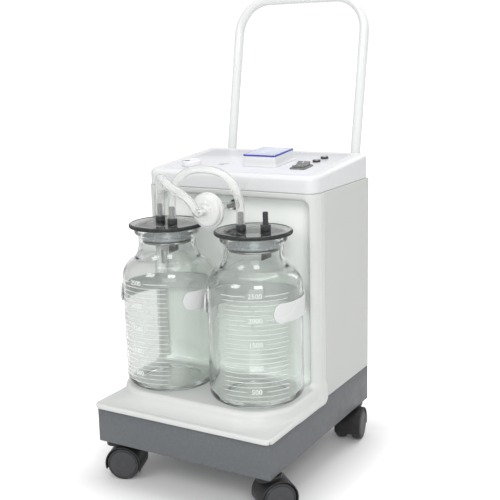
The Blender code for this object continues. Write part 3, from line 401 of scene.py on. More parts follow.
def stack(rings, caps=(True, True), closed=False):
    """Skin through rings of the same length; closed joins the last ring to the first."""
    verts = [p for ring in rings for p in ring]
    n = len(rings[0])
    faces = []
    for i in range(len(rings) if closed else len(rings) - 1):
        a, b = i * n, ((i + 1) % len(rings)) * n
        for k in range(n):
            q = (k + 1) % n
            faces.append((a + k, a + q, b + q, b + k))
    if caps[0] and not closed:
        faces.append(tuple(range(n))[::-1])
    if caps[1] and not closed:
        start = (len(rings) - 1) * n
        faces.append(tuple(range(start, start + n)))
    return verts, faces


def inset_ring(box, radii, inset, z, least=0.02, steps=6):
    """Rounded rectangle inside box (x0, x1, y0, y1).

    radii is one number or four, going round from the corner x0, y0; least is the
    smallest radius left after insetting.
    """
    x0, x1, y0, y1 = box[0] + inset, box[1] - inset, box[2] + inset, box[3] - inset
    corners = ((x0, y0, 1, 1, 180), (x1, y0, -1, 1, 270), (x1, y1, -1, -1, 0),
               (x0, y1, 1, -1, 90))
    out = []
    for (cx, cy, sx, sy, start), radius in zip(corners, np.broadcast_to(radii, 4).tolist()):
        r = max(radius - inset, least)
        out += [(x, y, z) for x, y in
                arc(cx + sx * r, cy + sy * r, r, start, start + 90, steps)]
    return out


def inset_stack(box, radii, stations, least=0.02, steps=6, closed=False):
    """Skin through inset rings; stations are (inset, z)."""
    rings = [inset_ring(box, radii, inset, z, least, steps) for inset, z in stations]
    return stack(rings, closed=closed)


def slab(box, z0, z1, radii, edge=1.0, segments=4, steps=6, bottom=None):
    """Plate with rounded plan corners and rounded top and bottom edges."""
    bottom = edge if bottom is None else bottom
    angles = [radians(90 * i / segments) for i in range(segments + 1)]
    stations = [(bottom * (1 - sin(t)), z0 + bottom * (1 - cos(t))) for t in angles]
    stations += [(edge * (1 - cos(t)), z1 - edge * (1 - sin(t))) for t in angles]
    return inset_stack(box, radii, stations, steps=steps)


def extrude(outline, z0, z1):
    return stack([[(x, y, z) for x, y in outline] for z in (z0, z1)])


def block(x0, x1, y0, y1, z0, z1):
    return extrude([(x0, y0), (x1, y0), (x1, y1), (x0, y1)], z0, z1)


def tick(angle, r0, r1, half_width, z0, z1, centre=(0.0, 0.0)):
    """Radial scale mark."""
    cos_a, sin_a = cos(angle), sin(angle)
    corners = ((r0, half_width), (r1, half_width), (r1, -half_width), (r0, -half_width))
    return extrude([(centre[0] + r * cos_a + w * sin_a, centre[1] + r * sin_a - w * cos_a)
                    for r, w in corners], z0, z1)


def sweep(points, radius, steps, bore, side=(0, 1, 0)):
    """Pipe along the points; side sets where its rings start."""
    points = [Vector(p) for p in points]
    tangents = []
    for i in range(len(points)):
        before, after = points[max(i - 1, 0)], points[min(i + 1, len(points) - 1)]
        tangents.append((after - before).normalized())
    side = Vector(side)
    side = (side - tangents[0] * side.dot(tangents[0])).normalized()
    outer, inner = [], []
    for point, tangent in zip(points, tangents):
        side = (side - tangent * side.dot(tangent)).normalized()
        up = tangent.cross(side)
        around = [side * cos(2 * pi * k / steps) + up * sin(2 * pi * k / steps)
                  for k in range(steps)]
        outer.append([tuple(point + ray * radius) for ray in around])
        inner.append([tuple(point + ray * bore) for ray in around])
    return stack(outer + inner[::-1], closed=True)


def curve(controls, steps):
    """Catmull-Rom curve through the control points, then lightly smoothed."""
    pts = [Vector(p) for p in controls]
    pts = [pts[0] * 2 - pts[1]] + pts + [pts[-1] * 2 - pts[-2]]
    out = []
    for i in range(1, len(pts) - 2):
        p0, p1, p2, p3 = pts[i - 1:i + 3]
        for k in range(steps):
            t = k / steps
            out.append(0.5 * ((2 * p1) + (p2 - p0) * t + (2 * p0 - 5 * p1 + 4 * p2 - p3) * t * t
                              + (3 * p1 - p0 - 3 * p2 + p3) * t ** 3))
    out.append(pts[-2])
    path = np.array([tuple(v) for v in out])
    for _ in range(6):
        smoothed = path.copy()
        smoothed[3:-3] = (path[2:-4] + 2 * path[3:-3] + path[4:-2]) / 4
        path = smoothed
    return [tuple(v) for v in path]


def glyphs(text, size, depth, place):
    """Raised figures; place maps flat text (x, y, z) to where it goes."""
    font = bpy.data.curves.new("txt", "FONT")
    font.body = text
    font.size = size
    font.align_x = "CENTER"
    font.align_y = "CENTER"
    font.extrude = depth / 2
    font.resolution_u = 3
    ob = bpy.data.objects.new("txt", font)
    SCENE.collection.objects.link(ob)
    depsgraph = bpy.context.evaluated_depsgraph_get()
    data = bpy.data.meshes.new_from_object(ob.evaluated_get(depsgraph), depsgraph=depsgraph)
    verts = [place(*p.co) for p in data.vertices]
    faces = [tuple(p.vertices) for p in data.polygons]
    bpy.data.objects.remove(ob, do_unlink=True)
    bpy.data.curves.remove(font)
    bpy.data.meshes.remove(data)
    return verts, faces


# ================================================================= objects ==
def make_object(name, mesh, materials, smooth=True, sharp=38.0, face_slots=None, normals=None):
    data = bpy.data.meshes.new(name)
    data.from_pydata([(float(x) * MM, float(y) * MM, (float(z) - DROP) * MM)
                      for x, y, z in mesh[0]], [], [tuple(int(i) for i in f) for f in mesh[1]])
    data.validate(clean_customdata=False)
    for key in materials:
        data.materials.append(MATERIALS[key])
    if face_slots is not None:
        data.polygons.foreach_set("material_index", np.array(face_slots, np.int32))
    if smooth:
        data.shade_smooth()
        if normals is None:
            data.set_sharp_from_angle(angle=radians(sharp))
        else:
            data.normals_split_custom_set_from_vertices([tuple(n) for n in normals])
    data.update()
    ob = bpy.data.objects.new(name, data)
    SCENE.collection.objects.link(ob)
    return ob


def face_outward(ob):
    bm = bmesh.new()
    bm.from_mesh(ob.data)
    bmesh.ops.recalc_face_normals(bm, faces=bm.faces)
    bm.to_mesh(ob.data)
    bm.free()


def cut(ob, mesh):
    """Subtract a closed mesh."""
    cutter = make_object("cutter", mesh, ["black"], smooth=False)
    face_outward(cutter)
    modifier = ob.modifiers.new("cut", "BOOLEAN")
    modifier.object = cutter
    modifier.solver = "EXACT"
    bpy.context.view_layer.update()
    depsgraph = bpy.context.evaluated_depsgraph_get()
    result = bpy.data.meshes.new_from_object(ob.evaluated_get(depsgraph), depsgraph=depsgraph)
    whole = ob.data
    ob.modifiers.clear()
    ob.data = result
    bpy.data.meshes.remove(whole)
    cutter_data = cutter.data
    bpy.data.objects.remove(cutter, do_unlink=True)
    bpy.data.meshes.remove(cutter_data)
    ob.data.shade_smooth()
    ob.data.set_sharp_from_angle(angle=radians(38))


def piece(name, mesh, material, slot, replaces=None, body="root", place=None, outward=True,
          cuts=(), **options):
    """Make an object, cut it, and tell the frame its body and the CAD piece it replaces.

    material is a key of MATERIALS or a list of them; slot is not used; options go to make_object.
    """
    if place is not None:
        mesh = moved(mesh, place)
    materials = [material] if isinstance(material, str) else material
    ob = make_object(name, mesh, materials, **options)
    if outward:
        face_outward(ob)
    for cutter in cuts:
        cut(ob, cutter)
    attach(ob, body)
    if replaces:
        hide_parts(replaces)


def screws(name, places, r=3.2, sharp=38.0):
    """Pan heads with a dark cross, facing the rear."""
    head = turned([(0, 0.0), (r, 0.0), (r, 0.6), (r * 0.93, 1.25), (r * 0.72, 1.75),
                   (r * 0.4, 2.0), (0, 2.05)], 24)
    bar = block(-r * 0.55, r * 0.55, -0.35, 0.35, 1.75, 2.12)
    cross_bar = block(-0.35, 0.35, -r * 0.55, r * 0.55, 1.75, 2.13)
    parts = [moved(part, Matrix.Translation(at) @ TO_REAR)
             for at in places for part in (head, bar, cross_bar)]
    face_slots = [0 if i % 3 == 0 else 1 for i, part in enumerate(parts) for _ in part[1]]
    piece(name, joined(*parts), ["screw", "ink"], "steel", outward=False,
          face_slots=face_slots, sharp=sharp)


# ==================================================================== base ==
# (inset, height) up the outside, over the rim and down the inside
SKIRT = [(1.2, 60.0), (0.35, 60.35), (0, 61.2), (0, 89.0), (0, 117.9), (0.8, 118.7),
         (5.0, 118.7), (5.0, 64.0)]
piece("base_skirt_shell",
      inset_stack((-BASE_X, BASE_X, -BASE_Y, BASE_Y), 2.2, SKIRT, least=0.3, steps=4),
      "base", "base_grey", "base_skirt", sharp=50)
piece("base_pad", slab((-85, 85, -105, 105), PAD_Z, PAD_Z + 1.8, 5, edge=0.5),
      "base", "base_grey", sharp=50)


# ============================================================= front shell ==
# The shell is the zero surface of a signed distance field, so its corners can blend.
def rectangle_field(x, y, box, front_r, rear_r):
    """Rounded rectangle (x0, x1, y0, y1), with its own radius for the low and high y."""
    x0, x1, y0, y1 = box
    cx, cy, half_x, half_y = (x0 + x1) / 2, (y0 + y1) / 2, (x1 - x0) / 2, (y1 - y0) / 2
    r = np.where(y < cy, front_r, rear_r)
    qx, qy = np.abs(x - cx) - half_x + r, np.abs(y - cy) - half_y + r
    return np.hypot(np.maximum(qx, 0), np.maximum(qy, 0)) + np.minimum(np.maximum(qx, qy), 0) - r


def extrude_field(plan, z, z0, z1, r):
    a, b = plan + r, np.abs(z - (z0 + z1) / 2) - (z1 - z0) / 2 + r
    return np.minimum(np.maximum(a, b), 0) + np.hypot(np.maximum(a, 0), np.maximum(b, 0)) - r


def blend(a, b, width):
    """Union with a fillet."""
    h = np.clip(0.5 + 0.5 * (b - a) / width, 0, 1)
    return b * (1 - h) + a * h - width * h * (1 - h)


def intersect(a, b, width):
    """Intersection with a rounded edge."""
    return -blend(-a, -b, width)


def surface(field, low, high, step):
    """Vertices, quads and normals of field = 0: surface nets pulled onto the exact surface."""
    axes = [np.arange(low[i] - 1.5 * step, high[i] + 1.5 * step, step) for i in range(3)]
    values = field(*np.meshgrid(*axes, indexing="ij")).astype(np.float64)
    inside = values < 0
    cells = tuple(size - 1 for size in values.shape)
    # each cell's vertex is the mean of the crossings on its twelve edges
    total = np.zeros(cells + (3,))
    count = np.zeros(cells)
    for axis in range(3):
        across = [a for a in range(3) if a != axis]
        for corner in ((0, 0), (0, 1), (1, 0), (1, 1)):
            start, end = [None] * 3, [None] * 3
            start[axis], end[axis] = slice(0, -1), slice(1, None)
            offset = [0.0, 0.0, 0.0]
            for other, shift in zip(across, corner):
                start[other] = end[other] = slice(shift, values.shape[other] - 1 + shift)
                offset[other] = shift
            va, vb = values[tuple(start)], values[tuple(end)]
            crosses = (va < 0) != (vb < 0)
            t = np.where(crosses, va / np.where(crosses, va - vb, 1.0), 0.0)
            for c in range(3):
                total[..., c] += np.where(crosses, t if c == axis else offset[c], 0.0)
            count += crosses
    used = count > 0
    index = -np.ones(cells, int)
    index[used] = np.arange(used.sum())
    points = np.array([a[0] for a in axes]) + step * (
        np.argwhere(used) + total[used] / count[used][:, None])
    # one quad round every grid edge that crosses the surface
    quads = []
    for axis in range(3):
        side1, side2 = [(1, 2), (2, 0), (0, 1)][axis]
        start = [slice(0, cells[i]) for i in range(3)]
        start[side1] = slice(1, cells[side1])
        start[side2] = slice(1, cells[side2])
        end = list(start)
        end[axis] = slice(1, cells[axis] + 1)
        a, b = inside[tuple(start)], inside[tuple(end)]
        at = np.argwhere(a != b)
        step1, step2 = np.eye(3, dtype=int)[side1], np.eye(3, dtype=int)[side2]
        quad = np.stack([index[tuple((at + shift).T)]
                         for shift in (0 * step1, step1, step1 + step2, step2)], 1)
        leaves = ~a[tuple(at.T)]
        quad[leaves] = quad[leaves][:, ::-1]
        quads.append(quad)
    eps = 0.15

    def gradient(p):
        return np.stack([field(*(p + d).T) - field(*(p - d).T)
                         for d in np.eye(3) * eps], 1) / (2 * eps)

    for _ in range(4):
        slope = gradient(points)
        steepness = np.maximum((slope * slope).sum(1), 0.05)[:, None]
        move = field(*points.T)[:, None] * slope / steepness
        points = points - np.clip(move, -step * 0.6, step * 0.6)
    normals = gradient(points)
    normals /= np.maximum(np.linalg.norm(normals, axis=1), 1e-9)[:, None]
    return points, np.concatenate(quads), normals


TRAY_X, TRAY_FRONT = 156.0, -179.5      # half width and front of the rim round the jars
STEP_R = 74.5                           # radius of the plinth round each jar's axis


def shell_field(x, y, z):
    tray = extrude_field(rectangle_field(x, y, (-TRAY_X, TRAY_X, TRAY_FRONT, 2.0), 13.0, 4.0),
                         z, 114.0, 122.4, 3.9)
    dish = extrude_field(rectangle_field(x, y, (-149.0, 149.0, -172.5, 30.0), 8.0, 4.0),
                         z, 121.5, 160.0, 3.0)
    tray = intersect(tray, -dish, 3.0)
    # plinth: two round fronts joined by a straight one
    plan = np.hypot(np.maximum(np.abs(x) - JAR_X, 0), np.minimum(y - JAR_Y, 0)) - STEP_R
    plinth = extrude_field(np.maximum(plan, y - 6.0), z, 95.0, PLINTH_Z, 7.0)
    upright = extrude_field(
        rectangle_field(x, y, (-BASE_X, BASE_X, FRAME_Y, FRAME_BACK), 20.0, 0.6),
        z, 119.2, SEAM_Z, 0.7)
    recess = extrude_field(
        rectangle_field(x, z, (-RECESS_X, RECESS_X, PLINTH_Z, RECESS_Z), 9.0, 10.0),
        y, -80.0, RECESS_Y, 3.0)
    upright = intersect(upright, -recess, 6.0)
    fillet = 8.0 + 18.0 * np.clip((-100.0 - y) / 45.0, 0, 1)    # widens toward the front
    body = blend(blend(tray, plinth, fillet), upright, 12.0)
    outline = rectangle_field(x, y, (-TRAY_X, TRAY_X, TRAY_FRONT, 30.0), 13.0, 4.0)
    body = intersect(body, outline, 1.5)
    # room for the base skirt below
    skirt = extrude_field(rectangle_field(x, y, (-151.9, 151.9, -174.0, 60.0), 1.0, 1.0),
                          z, 60.0, 119.0, 0.3)
    return np.maximum(intersect(body, -skirt, 0.6), y - FRAME_BACK)


shell_points, shell_quads, shell_normals = surface(
    shell_field, low=(-157.0, -181.0, 113.0), high=(157.0, 11.0, 440.5), step=1.7)
piece("front_shell_moulding", (shell_points, shell_quads), "shell", "shell_white",
      "front_shell", outward=False, normals=shell_normals)

# ==================================================== side and rear panels ==
SHEET = 2.4                             # thickness
for side, sign in SIDES:
    piece(f"{side}_side_sheet",
          slab((FRAME_BACK + 0.5, BASE_Y, SHEET_Z, SEAM_Z), BASE_X - SHEET, BASE_X, 0.6,
               edge=0.9, steps=3, bottom=0.2),
          "panel", "panel_grey", f"{side}_side_panel",
          place=Matrix.Diagonal((sign, 1, 1, 1)) @ YZ_PLAN, sharp=50)

INLET_X, INLET_Z = -85.0, 165.0         # mains inlet
REAR_CUT = (BASE_Y - 12, BASE_Y + 8)    # y range of cutters through the rear panel
SLOT_X, SLOT_Z, SLOT_PITCH, SLOT_HALF, SLOT_R = 45.0, 150.0, 14.0, 28, 2.5
slot_end = arc(SLOT_HALF, 0, SLOT_R, -90, 90, 8) + arc(-SLOT_HALF, 0, SLOT_R, 90, 270, 8)
rear_cuts = [moved(extrude([(x + SLOT_X, z + SLOT_Z + SLOT_PITCH * i) for x, z in slot_end],
                           *REAR_CUT), XZ_PLAN) for i in range(7)]
rear_cuts.append(block(INLET_X - 14.3, INLET_X + 14.3, *REAR_CUT,
                       INLET_Z - 11.3, INLET_Z + 11.3))
piece("rear_sheet",
      slab((-148.4, 148.4, SHEET_Z, SEAM_Z), BASE_Y - SHEET, BASE_Y, 1,
           edge=0.7, segments=3, steps=3, bottom=0.2),
      "panel", "panel_grey", "rear_panel", place=XZ_PLAN, cuts=rear_cuts, sharp=50)

screw_places = [(x, z) for x in (-138.0, 0.0, 138.0) for z in (131.0, 430.0)]
screw_places += [(x, z) for x in (-138.0, 138.0) for z in (230.0, 330.0)]
screws("rear_panel_screws", [(x, BASE_Y + 0.02, z) for x, z in screw_places], sharp=45)

# ============================================================= mains inlet ==
# (x, z) of the socket's six corners from its middle
SOCKET = [(-11.5, -7.5), (11.5, -7.5), (11.5, 3.5), (7.5, 7.5), (-7.5, 7.5), (-11.5, 3.5)]


def socket_ring(scale, y):
    return [(INLET_X + x * scale, BASE_Y + y, INLET_Z + z * scale) for x, z in SOCKET]


piece("mains_inlet_housing",
      slab((INLET_X - 25, INLET_X + 25, INLET_Z - 14, INLET_Z + 14),
           BASE_Y + 0.2, BASE_Y + 3.3, 5),
      "black", "black", "power_inlet", place=XZ_PLAN,
      cuts=[stack([socket_ring(1, -6), socket_ring(1, 9)])])
TUB, LINING, MOUTH = 1.12, 0.995, 0.4   # scales of the socket's outside and inside; its rim
piece("mains_inlet_socket", joined(
    stack([socket_ring(TUB, MOUTH), socket_ring(TUB, -21.0)], caps=(False, True)),
    stack([socket_ring(LINING, MOUTH), socket_ring(LINING, -15.0)], caps=(False, True)),
    stack([socket_ring(TUB, MOUTH), socket_ring(LINING, MOUTH)], caps=(False, False))),
      "black", "black")
piece("mains_inlet_pins", joined(*[
    block(INLET_X + x - 1.0, INLET_X + x + 1.0, BASE_Y - 15, BASE_Y - 3,
          INLET_Z + z - 2.0, INLET_Z + z + 2.0) for x, z in ((-7, -2), (7, -2), (0, 1.6))]),
      "brass", "brass", outward=False)
screws("mains_inlet_screws",
       [(INLET_X + x, BASE_Y + 3.3, INLET_Z) for x in (-20, 20)], r=2.6)

# =============================================================== top cover ==
COVER_GAP = 1.2                         # how far the cover stands in from the body
COVER_BOX = (-(BASE_X - COVER_GAP), BASE_X - COVER_GAP, FRAME_Y + COVER_GAP,
             BASE_Y - COVER_GAP)
COVER_EDGE = 7.0                        # rounding of the upper edge


def level_ring(inset, z):
    return inset_ring(COVER_BOX, (20, 20, 8, 8), inset, z, least=1, steps=12)


def sloped_ring(inset, below):
    return [(x, y, cover_z(y) - below) for x, y, _ in level_ring(inset, 0)]


cover_rings = [sloped_ring(inset, below) for inset, below in ((9.0, 3.5), (5.0, 4.4), (3.4, 8.0))]
cover_rings += [level_ring(inset, SEAM_Z + up) for inset, up in
                ((3.0, 4.0), (3.0, 0.4), (0.5, 0.4), (0.15, 0.6), (0.0, 1.1))]
for k in (0.0, 0.35, 0.7):              # share of the way up the wall
    cover_rings.append([(x, y, (1 - k) * (SEAM_Z + 2.0) + k * (cover_z(y) - COVER_EDGE))
                        for x, y, _ in level_ring(0.0, 0)])
for i in range(9):
    t = radians(90 * i / 8)
    cover_rings.append(sloped_ring(COVER_EDGE * (1 - cos(t)), COVER_EDGE * (1 - sin(t))))
piece("top_cover_moulding", stack(cover_rings), "cover", "cover_white", "top_cover", sharp=45)

# printed film on the sloping top, with a border and a scale round the knob
FILM_Y = 75.8
film_place = panel_matrix(0, FILM_Y)
KNOB_X, KNOB_Y = -89.0, 20.0
PRINT_Z = (0.2, 0.3)                    # bottom and top of the print on the film
piece("panel_film", slab((-128, 132, -84, 78), 0.02, 0.22, 9, edge=0.08, segments=2, steps=8),
      "film", "cover_white", place=film_place, sharp=50)
border = inset_stack((-126, 130, -82, 76), 8, [(0, 0.2), (0, 0.26), (0.7, 0.26), (0.7, 0.2)],
                     steps=8, closed=True)
knob_scale = [tick(radians(225 - 27 * i), 19.0, 23.0 if i % 5 == 0 else 21.4, 0.45, *PRINT_Z,
                   centre=(KNOB_X, KNOB_Y - FILM_Y)) for i in range(11)]
piece("panel_print", joined(border, *knob_scale), "film_line", "cover_white",
      place=film_place, smooth=False)

ARROW_X, ARROW_Y = -48.0, 34.0 - FILM_Y
ARROW = [(0, -0.88), (7.2, -0.88), (7.2, -2.88), (12.0, 0), (7.2, 2.88), (7.2, 0.88), (0, 0.88)]
piece("panel_arrow_print", joined(
    extrude([(ARROW_X + x, ARROW_Y + y) for x, y in ARROW], *PRINT_Z),
    block(ARROW_X - 3, ARROW_X + 15, ARROW_Y + 8.3, ARROW_Y + 9.7, *PRINT_Z)),
      "ink", "black", place=film_place, smooth=False)

# =================================================================== gauge ==
gauge_place = panel_matrix(27.6, 65.0)
GAUGE_Z = 15.8                          # top of the case
GAUGE_BOX = (-28.8, 28.8, -32.4, 32.4)
GAUGE_R = 3.5
# (inset, z): flared foot, wall, rim and down the inside
CASE = [(-2.2, 0.25), (-2.2, 1.3), (-1.9, 1.9), (-1.1, 2.6), (-0.6, 4.0), (-0.2, 7.0),
        (0.0, GAUGE_Z - 1.0), (0.3, GAUGE_Z - 0.3), (0.9, GAUGE_Z), (2.6, GAUGE_Z),
        (3.0, GAUGE_Z - 0.3), (3.0, 3.4)]
piece("gauge_case", inset_stack(GAUGE_BOX, GAUGE_R, CASE, least=0.5),
      "gauge", "cover_white", "gauge_housing", place=gauge_place, sharp=45)

# (inset, height above the pane's underside)
PANE = [(0.6, 0.0), (0.1, 0.2), (0.0, 0.6), (0.0, 1.6), (0.3, 2.1), (1.0, 2.25), (2.4, 2.25)]
pane_verts, pane_faces = inset_stack(
    GAUGE_BOX, GAUGE_R, [(inset, GAUGE_Z + 0.3 + up) for inset, up in PANE], least=0.5)
# list the bottom face just before the band that frames the top
ring_size = len(pane_verts) // len(PANE)
pane_faces.insert(ring_size * (len(PANE) - 2), pane_faces.pop(-2))
piece("gauge_window_pane", (pane_verts, pane_faces), ["window", "blue"], "window",
      "gauge_window", place=gauge_place, sharp=45,
      face_slots=[0 if len(face) > 4 else 1 for face in pane_faces])  # blue on all but the ends

piece("gauge_dial_plate",
      slab((-25.5, 25.5, -29.1, 29.1), 3.6, 5.2, 2, edge=0.3, segments=2, steps=3),
      "dial", "dial", "gauge_dial", place=gauge_place)

dial_print = []
for i in range(51):
    if i % 10 == 0:
        r_in, half_width = 20.0, 0.42
    elif i % 5 == 0:
        r_in, half_width = 21.4, 0.3
    else:
        r_in, half_width = 22.5, 0.2
    dial_print.append(tick(radians(225 - 270 * i / 50), r_in, 24.0, half_width, 5.15, 5.3))
for i in range(6):
    angle = radians(225 - 54 * i)
    label_x, label_y = 16.2 * cos(angle), 16.2 * sin(angle)
    dial_print.append(glyphs(str(20 * i), 5.0, 0.12,
                             lambda x, y, z: (x + label_x, y + label_y, z + 5.25)))
piece("gauge_scale_print", joined(*dial_print), "ink", "dial", place=gauge_place,
      outward=False, smooth=False)

# (x, y) round the needle, which points along +X before it is turned to zero
NEEDLE = [(21.8, 0.0), (20.5, 0.28), (4.0, 0.95), (0, 1.1), (-5.5, 1.0), (-8.0, 1.9),
          (-9.0, 0.0), (-8.0, -1.9), (-5.5, -1.0), (0, -1.1), (4.0, -0.95), (20.5, -0.28)]
pointer = stack([[(x, y, 6.8) for x, y in NEEDLE], [(x * 0.995, y * 0.8, 7.3) for x, y in NEEDLE]])
HUB = [(0, 4.2), (1.2, 4.2), (1.2, 6.2), (3.0, 6.2), (3.2, 6.6), (3.2, 7.9), (2.8, 8.4),
       (1.2, 8.6), (0, 8.6)]            # (r, z)
piece("gauge_needle_pointer", joined(moved(pointer, turn_z(225)), turned(HUB, 24)),
      "needle", "needle", "gauge_needle", body="needle", place=gauge_place)

# ==================================================================== knob ==
knob_place = panel_matrix(KNOB_X, KNOB_Y)
KNOB = [(0, -7.5), (3.3, -7.5), (3.3, 0.4), (13.6, 0.4), (14.6, 0.7), (15.0, 1.4), (15.0, 2.6),
        (14.9, 4.5), (14.8, 6.2), (14.7, 7.2), (14.3, 8.2), (13.6, 8.75), (12.6, 9.0),
        (11.4, 8.9), (10.4, 8.5), (9.0, 8.35), (0, 8.35)]       # (r, z)


def knurl(r, z, angle):
    """36 shallow flutes on the grip, fading at its top and bottom."""
    if r < 13.6 or z < 0.8 or z > 8.3:
        return r
    return r - 0.32 * (0.5 + 0.5 * cos(36 * angle)) * min(1.0, (z - 0.8) / 1.2, (8.3 - z) / 1.0)


piece("regulator_knob_cap", turned(KNOB, 216, ripple=knurl), "knob", "knob",
      "regulator_knob", body="knob", place=knob_place, sharp=40)
piece("regulator_knob_mark", block(3.0, 14.0, -0.55, 0.55, 8.2, 9.12), "ink", "black",
      body="knob", place=knob_place @ turn_z(225), outward=False, smooth=False)

# ================================================================== switch ==
switch_place = panel_matrix(97.0, 41.0)
BEZEL = [(0, 0.25), (0, 1.6), (0.3, 2.3), (0.9, 2.6), (2.2, 2.6), (2.5, 2.3), (2.5, -3.0),
         (1.8, -3.0), (1.8, 0.25)]      # (inset, z) round the frame's section
piece("switch_frame",
      inset_stack((-13, 13, -16, 16), 2.5, BEZEL, least=0.4, steps=5, closed=True),
      "switch", "black", "switch_bezel", place=switch_place, sharp=45)
piece("switch_well",
      slab((-10.6, 10.6, -13.6, 13.6), -9.0, -6.8, 1, edge=0.3, segments=2, steps=2),
      "black", "black", place=switch_place)

rocker_place = (Matrix.Translation(switch_place @ Vector((0, 0, 0.5)))
                @ Matrix.Rotation(TILT + radians(8.0), 4, "X"))
ROCKER = [(-12.0, -1.0), (-9.0, -5.0), (9.0, -5.0), (12.0, -1.0), (12.2, 5.6), (10.5, 6.6),
          (5.0, 4.6), (0.0, 3.4), (-5.0, 4.6), (-10.5, 6.6), (-12.2, 5.6)]      # (y, z)
rocker = soften(ROCKER, 1.0, 4, closed=True)
mid_y, mid_z = [sum(p[axis] for p in rocker) / len(rocker) for axis in (0, 1)]
rocker_rings = [[(x, mid_y + (y - mid_y) * scale, mid_z + (z - mid_z) * scale) for y, z in rocker]
                for x, scale in ((-9.9, 0.93), (-9.75, 0.97), (-9.3, 1.0), (-5, 1.0), (0, 1.0),
                                 (5, 1.0), (9.3, 1.0), (9.75, 0.97), (9.9, 0.93))]
piece("switch_rocker_cap", stack(rocker_rings), "switch", "black", "switch_rocker",
      body="rocker", place=rocker_place, sharp=40)

# a bar and a ring, bent onto the rocker's faces
mark_verts, mark_faces = joined(
    block(-0.6, 0.6, 5.0, 9.5, 0.0, 0.1),
    moved(turned([(2.1, 0.0), (2.1, 0.1), (1.302, 0.1), (1.302, 0.0)], 24, closed=True),
          Matrix.Translation((0, -7.2, 0))))
mark_verts = [(x, y, 3.4 + abs(y) * 0.31 + z - 0.02) for x, y, z in mark_verts]
piece("switch_marks", (mark_verts, mark_faces), "dial", "dial", body="rocker",
      place=rocker_place, outward=False, smooth=False)

# =============================================================== fuse caps ==
FUSE_CAP = [(0, -13.5), (3.9, -13.5), (3.9, 0.3), (6.0, 0.3), (6.2, 0.6), (6.2, 2.4),
            (5.9, 3.1), (5.2, 3.5), (4.4, 3.6), (3.9, 3.3), (3.7, 3.1), (0, 3.1)]
FUSE_FACE = [(0, 3.15), (3.55, 3.15), (3.55, 3.35), (3.2, 3.62), (0, 3.7)]
for number, (x, y) in enumerate(((100.6, 86.0), (101.4, 113.0)), start=1):
    place = panel_matrix(x, y)
    piece(f"fuse_cap_{number}_top", turned(FUSE_CAP, 40), "black", "black",
          f"fuse_cap_{number}", place=place)
    piece(f"fuse_cap_{number}_face", turned(FUSE_FACE, 36), "screw", "steel", place=place,
          cuts=[moved(block(-5.4, 5.4, -0.6, 0.6, 3.3, 4.6), place @ turn_z(30))])

# ==================================================================== jars ==
JAR_Z = PLINTH_Z + 0.35
JAR_WALL = 3.5
SHOULDER_R, SHOULDER_Z = 30, 311.5      # rounding of the shoulder and its centre height
NECK_R, NECK_IN, LIP_R, LIP_TOP = 44.0, 37.3, 49.5, 386.0


def jar_profile():
    """(r, z) up the outside, over the lip and down the inside."""
    inner_r = JAR_R - JAR_WALL
    out = [(r, JAR_Z + up) for r, up in
           ((0, 2.2), (25, 2.1), (40.0, 1.6), (44.5, 0.6), (47.5, 0))]
    out += arc(JAR_R - 13, JAR_Z + 13, 13, -88, -4, 12)
    out += [(JAR_R, JAR_Z + 16), (JAR_R, JAR_Z + 60), (JAR_R, JAR_Z + 110), (JAR_R, 300.0)]
    out += arc(JAR_R - SHOULDER_R, SHOULDER_Z, SHOULDER_R, 0, 60, 16)
    out += [(54.0, 338.6), (52.0, 340.2), (50.0, 342.4), (48.0, 345.5), (46.2, 349.4),
            (45.0, 353.5), (44.2, 358.0), (NECK_R, 362.0), (NECK_R, 370.0), (44.2, 373.0),
            (45.4, 375.2), (47.4, 376.6), (48.8, 377.6), (LIP_R, 379.4), (LIP_R, 382.8),
            (48.9, 384.6), (47.4, 385.7), (45.6, LIP_TOP), (40.0, LIP_TOP), (38.4, 385.6),
            (NECK_IN + 0.2, 384.6), (NECK_IN, 383.0), (NECK_IN, 366.0), (NECK_IN + 0.2, 356.0),
            (38.6, 350.0), (41.2, 344.4), (45.0, 339.6)]
    out += arc(JAR_R - SHOULDER_R, SHOULDER_Z, SHOULDER_R - JAR_WALL, 62, 0, 16)
    out += [(inner_r, 300.0), (inner_r, JAR_Z + 60), (inner_r, JAR_Z + 18)]
    out += arc(inner_r - 11, JAR_Z + 16.5, 11, -4, -86, 10)
    out += [(45.0, JAR_Z + 5.4), (30.0, JAR_Z + 6.2), (0, JAR_Z + 6.4)]
    return out


def ridge(middle, start, end, z, relief, half_height):
    """Raised line round the jar between two whole angles from middle, tapered at its ends."""
    steps = (end - start) // 2
    rings = []
    for j in range(steps + 1):
        angle = middle + radians(start + (end - start) * j / steps)
        taper = 0.25 + 0.75 * min(1.0, j / 1.5, (steps - j) / 1.5)
        ring = []
        for k in range(8):
            t = 2 * pi * k / 8
            flat = 1.0 if cos(t) > 0 else 0.25          # flatter inside the glass
            r = JAR_R - 0.1 + relief * taper * cos(t) * flat
            ring.append((r * cos(angle), r * sin(angle), z + half_height * taper * sin(t)))
        rings.append(ring)
    return stack(rings)


TOP_MARK, TOP_MARK_Z, MARK_PITCH = 25, 311.8, 7.036     # one mark per 100, up to 2500
SCALE_ANGLE = {-1: radians(-90 - 9.0), 1: radians(-90 + 30.0)}      # middle of each scale

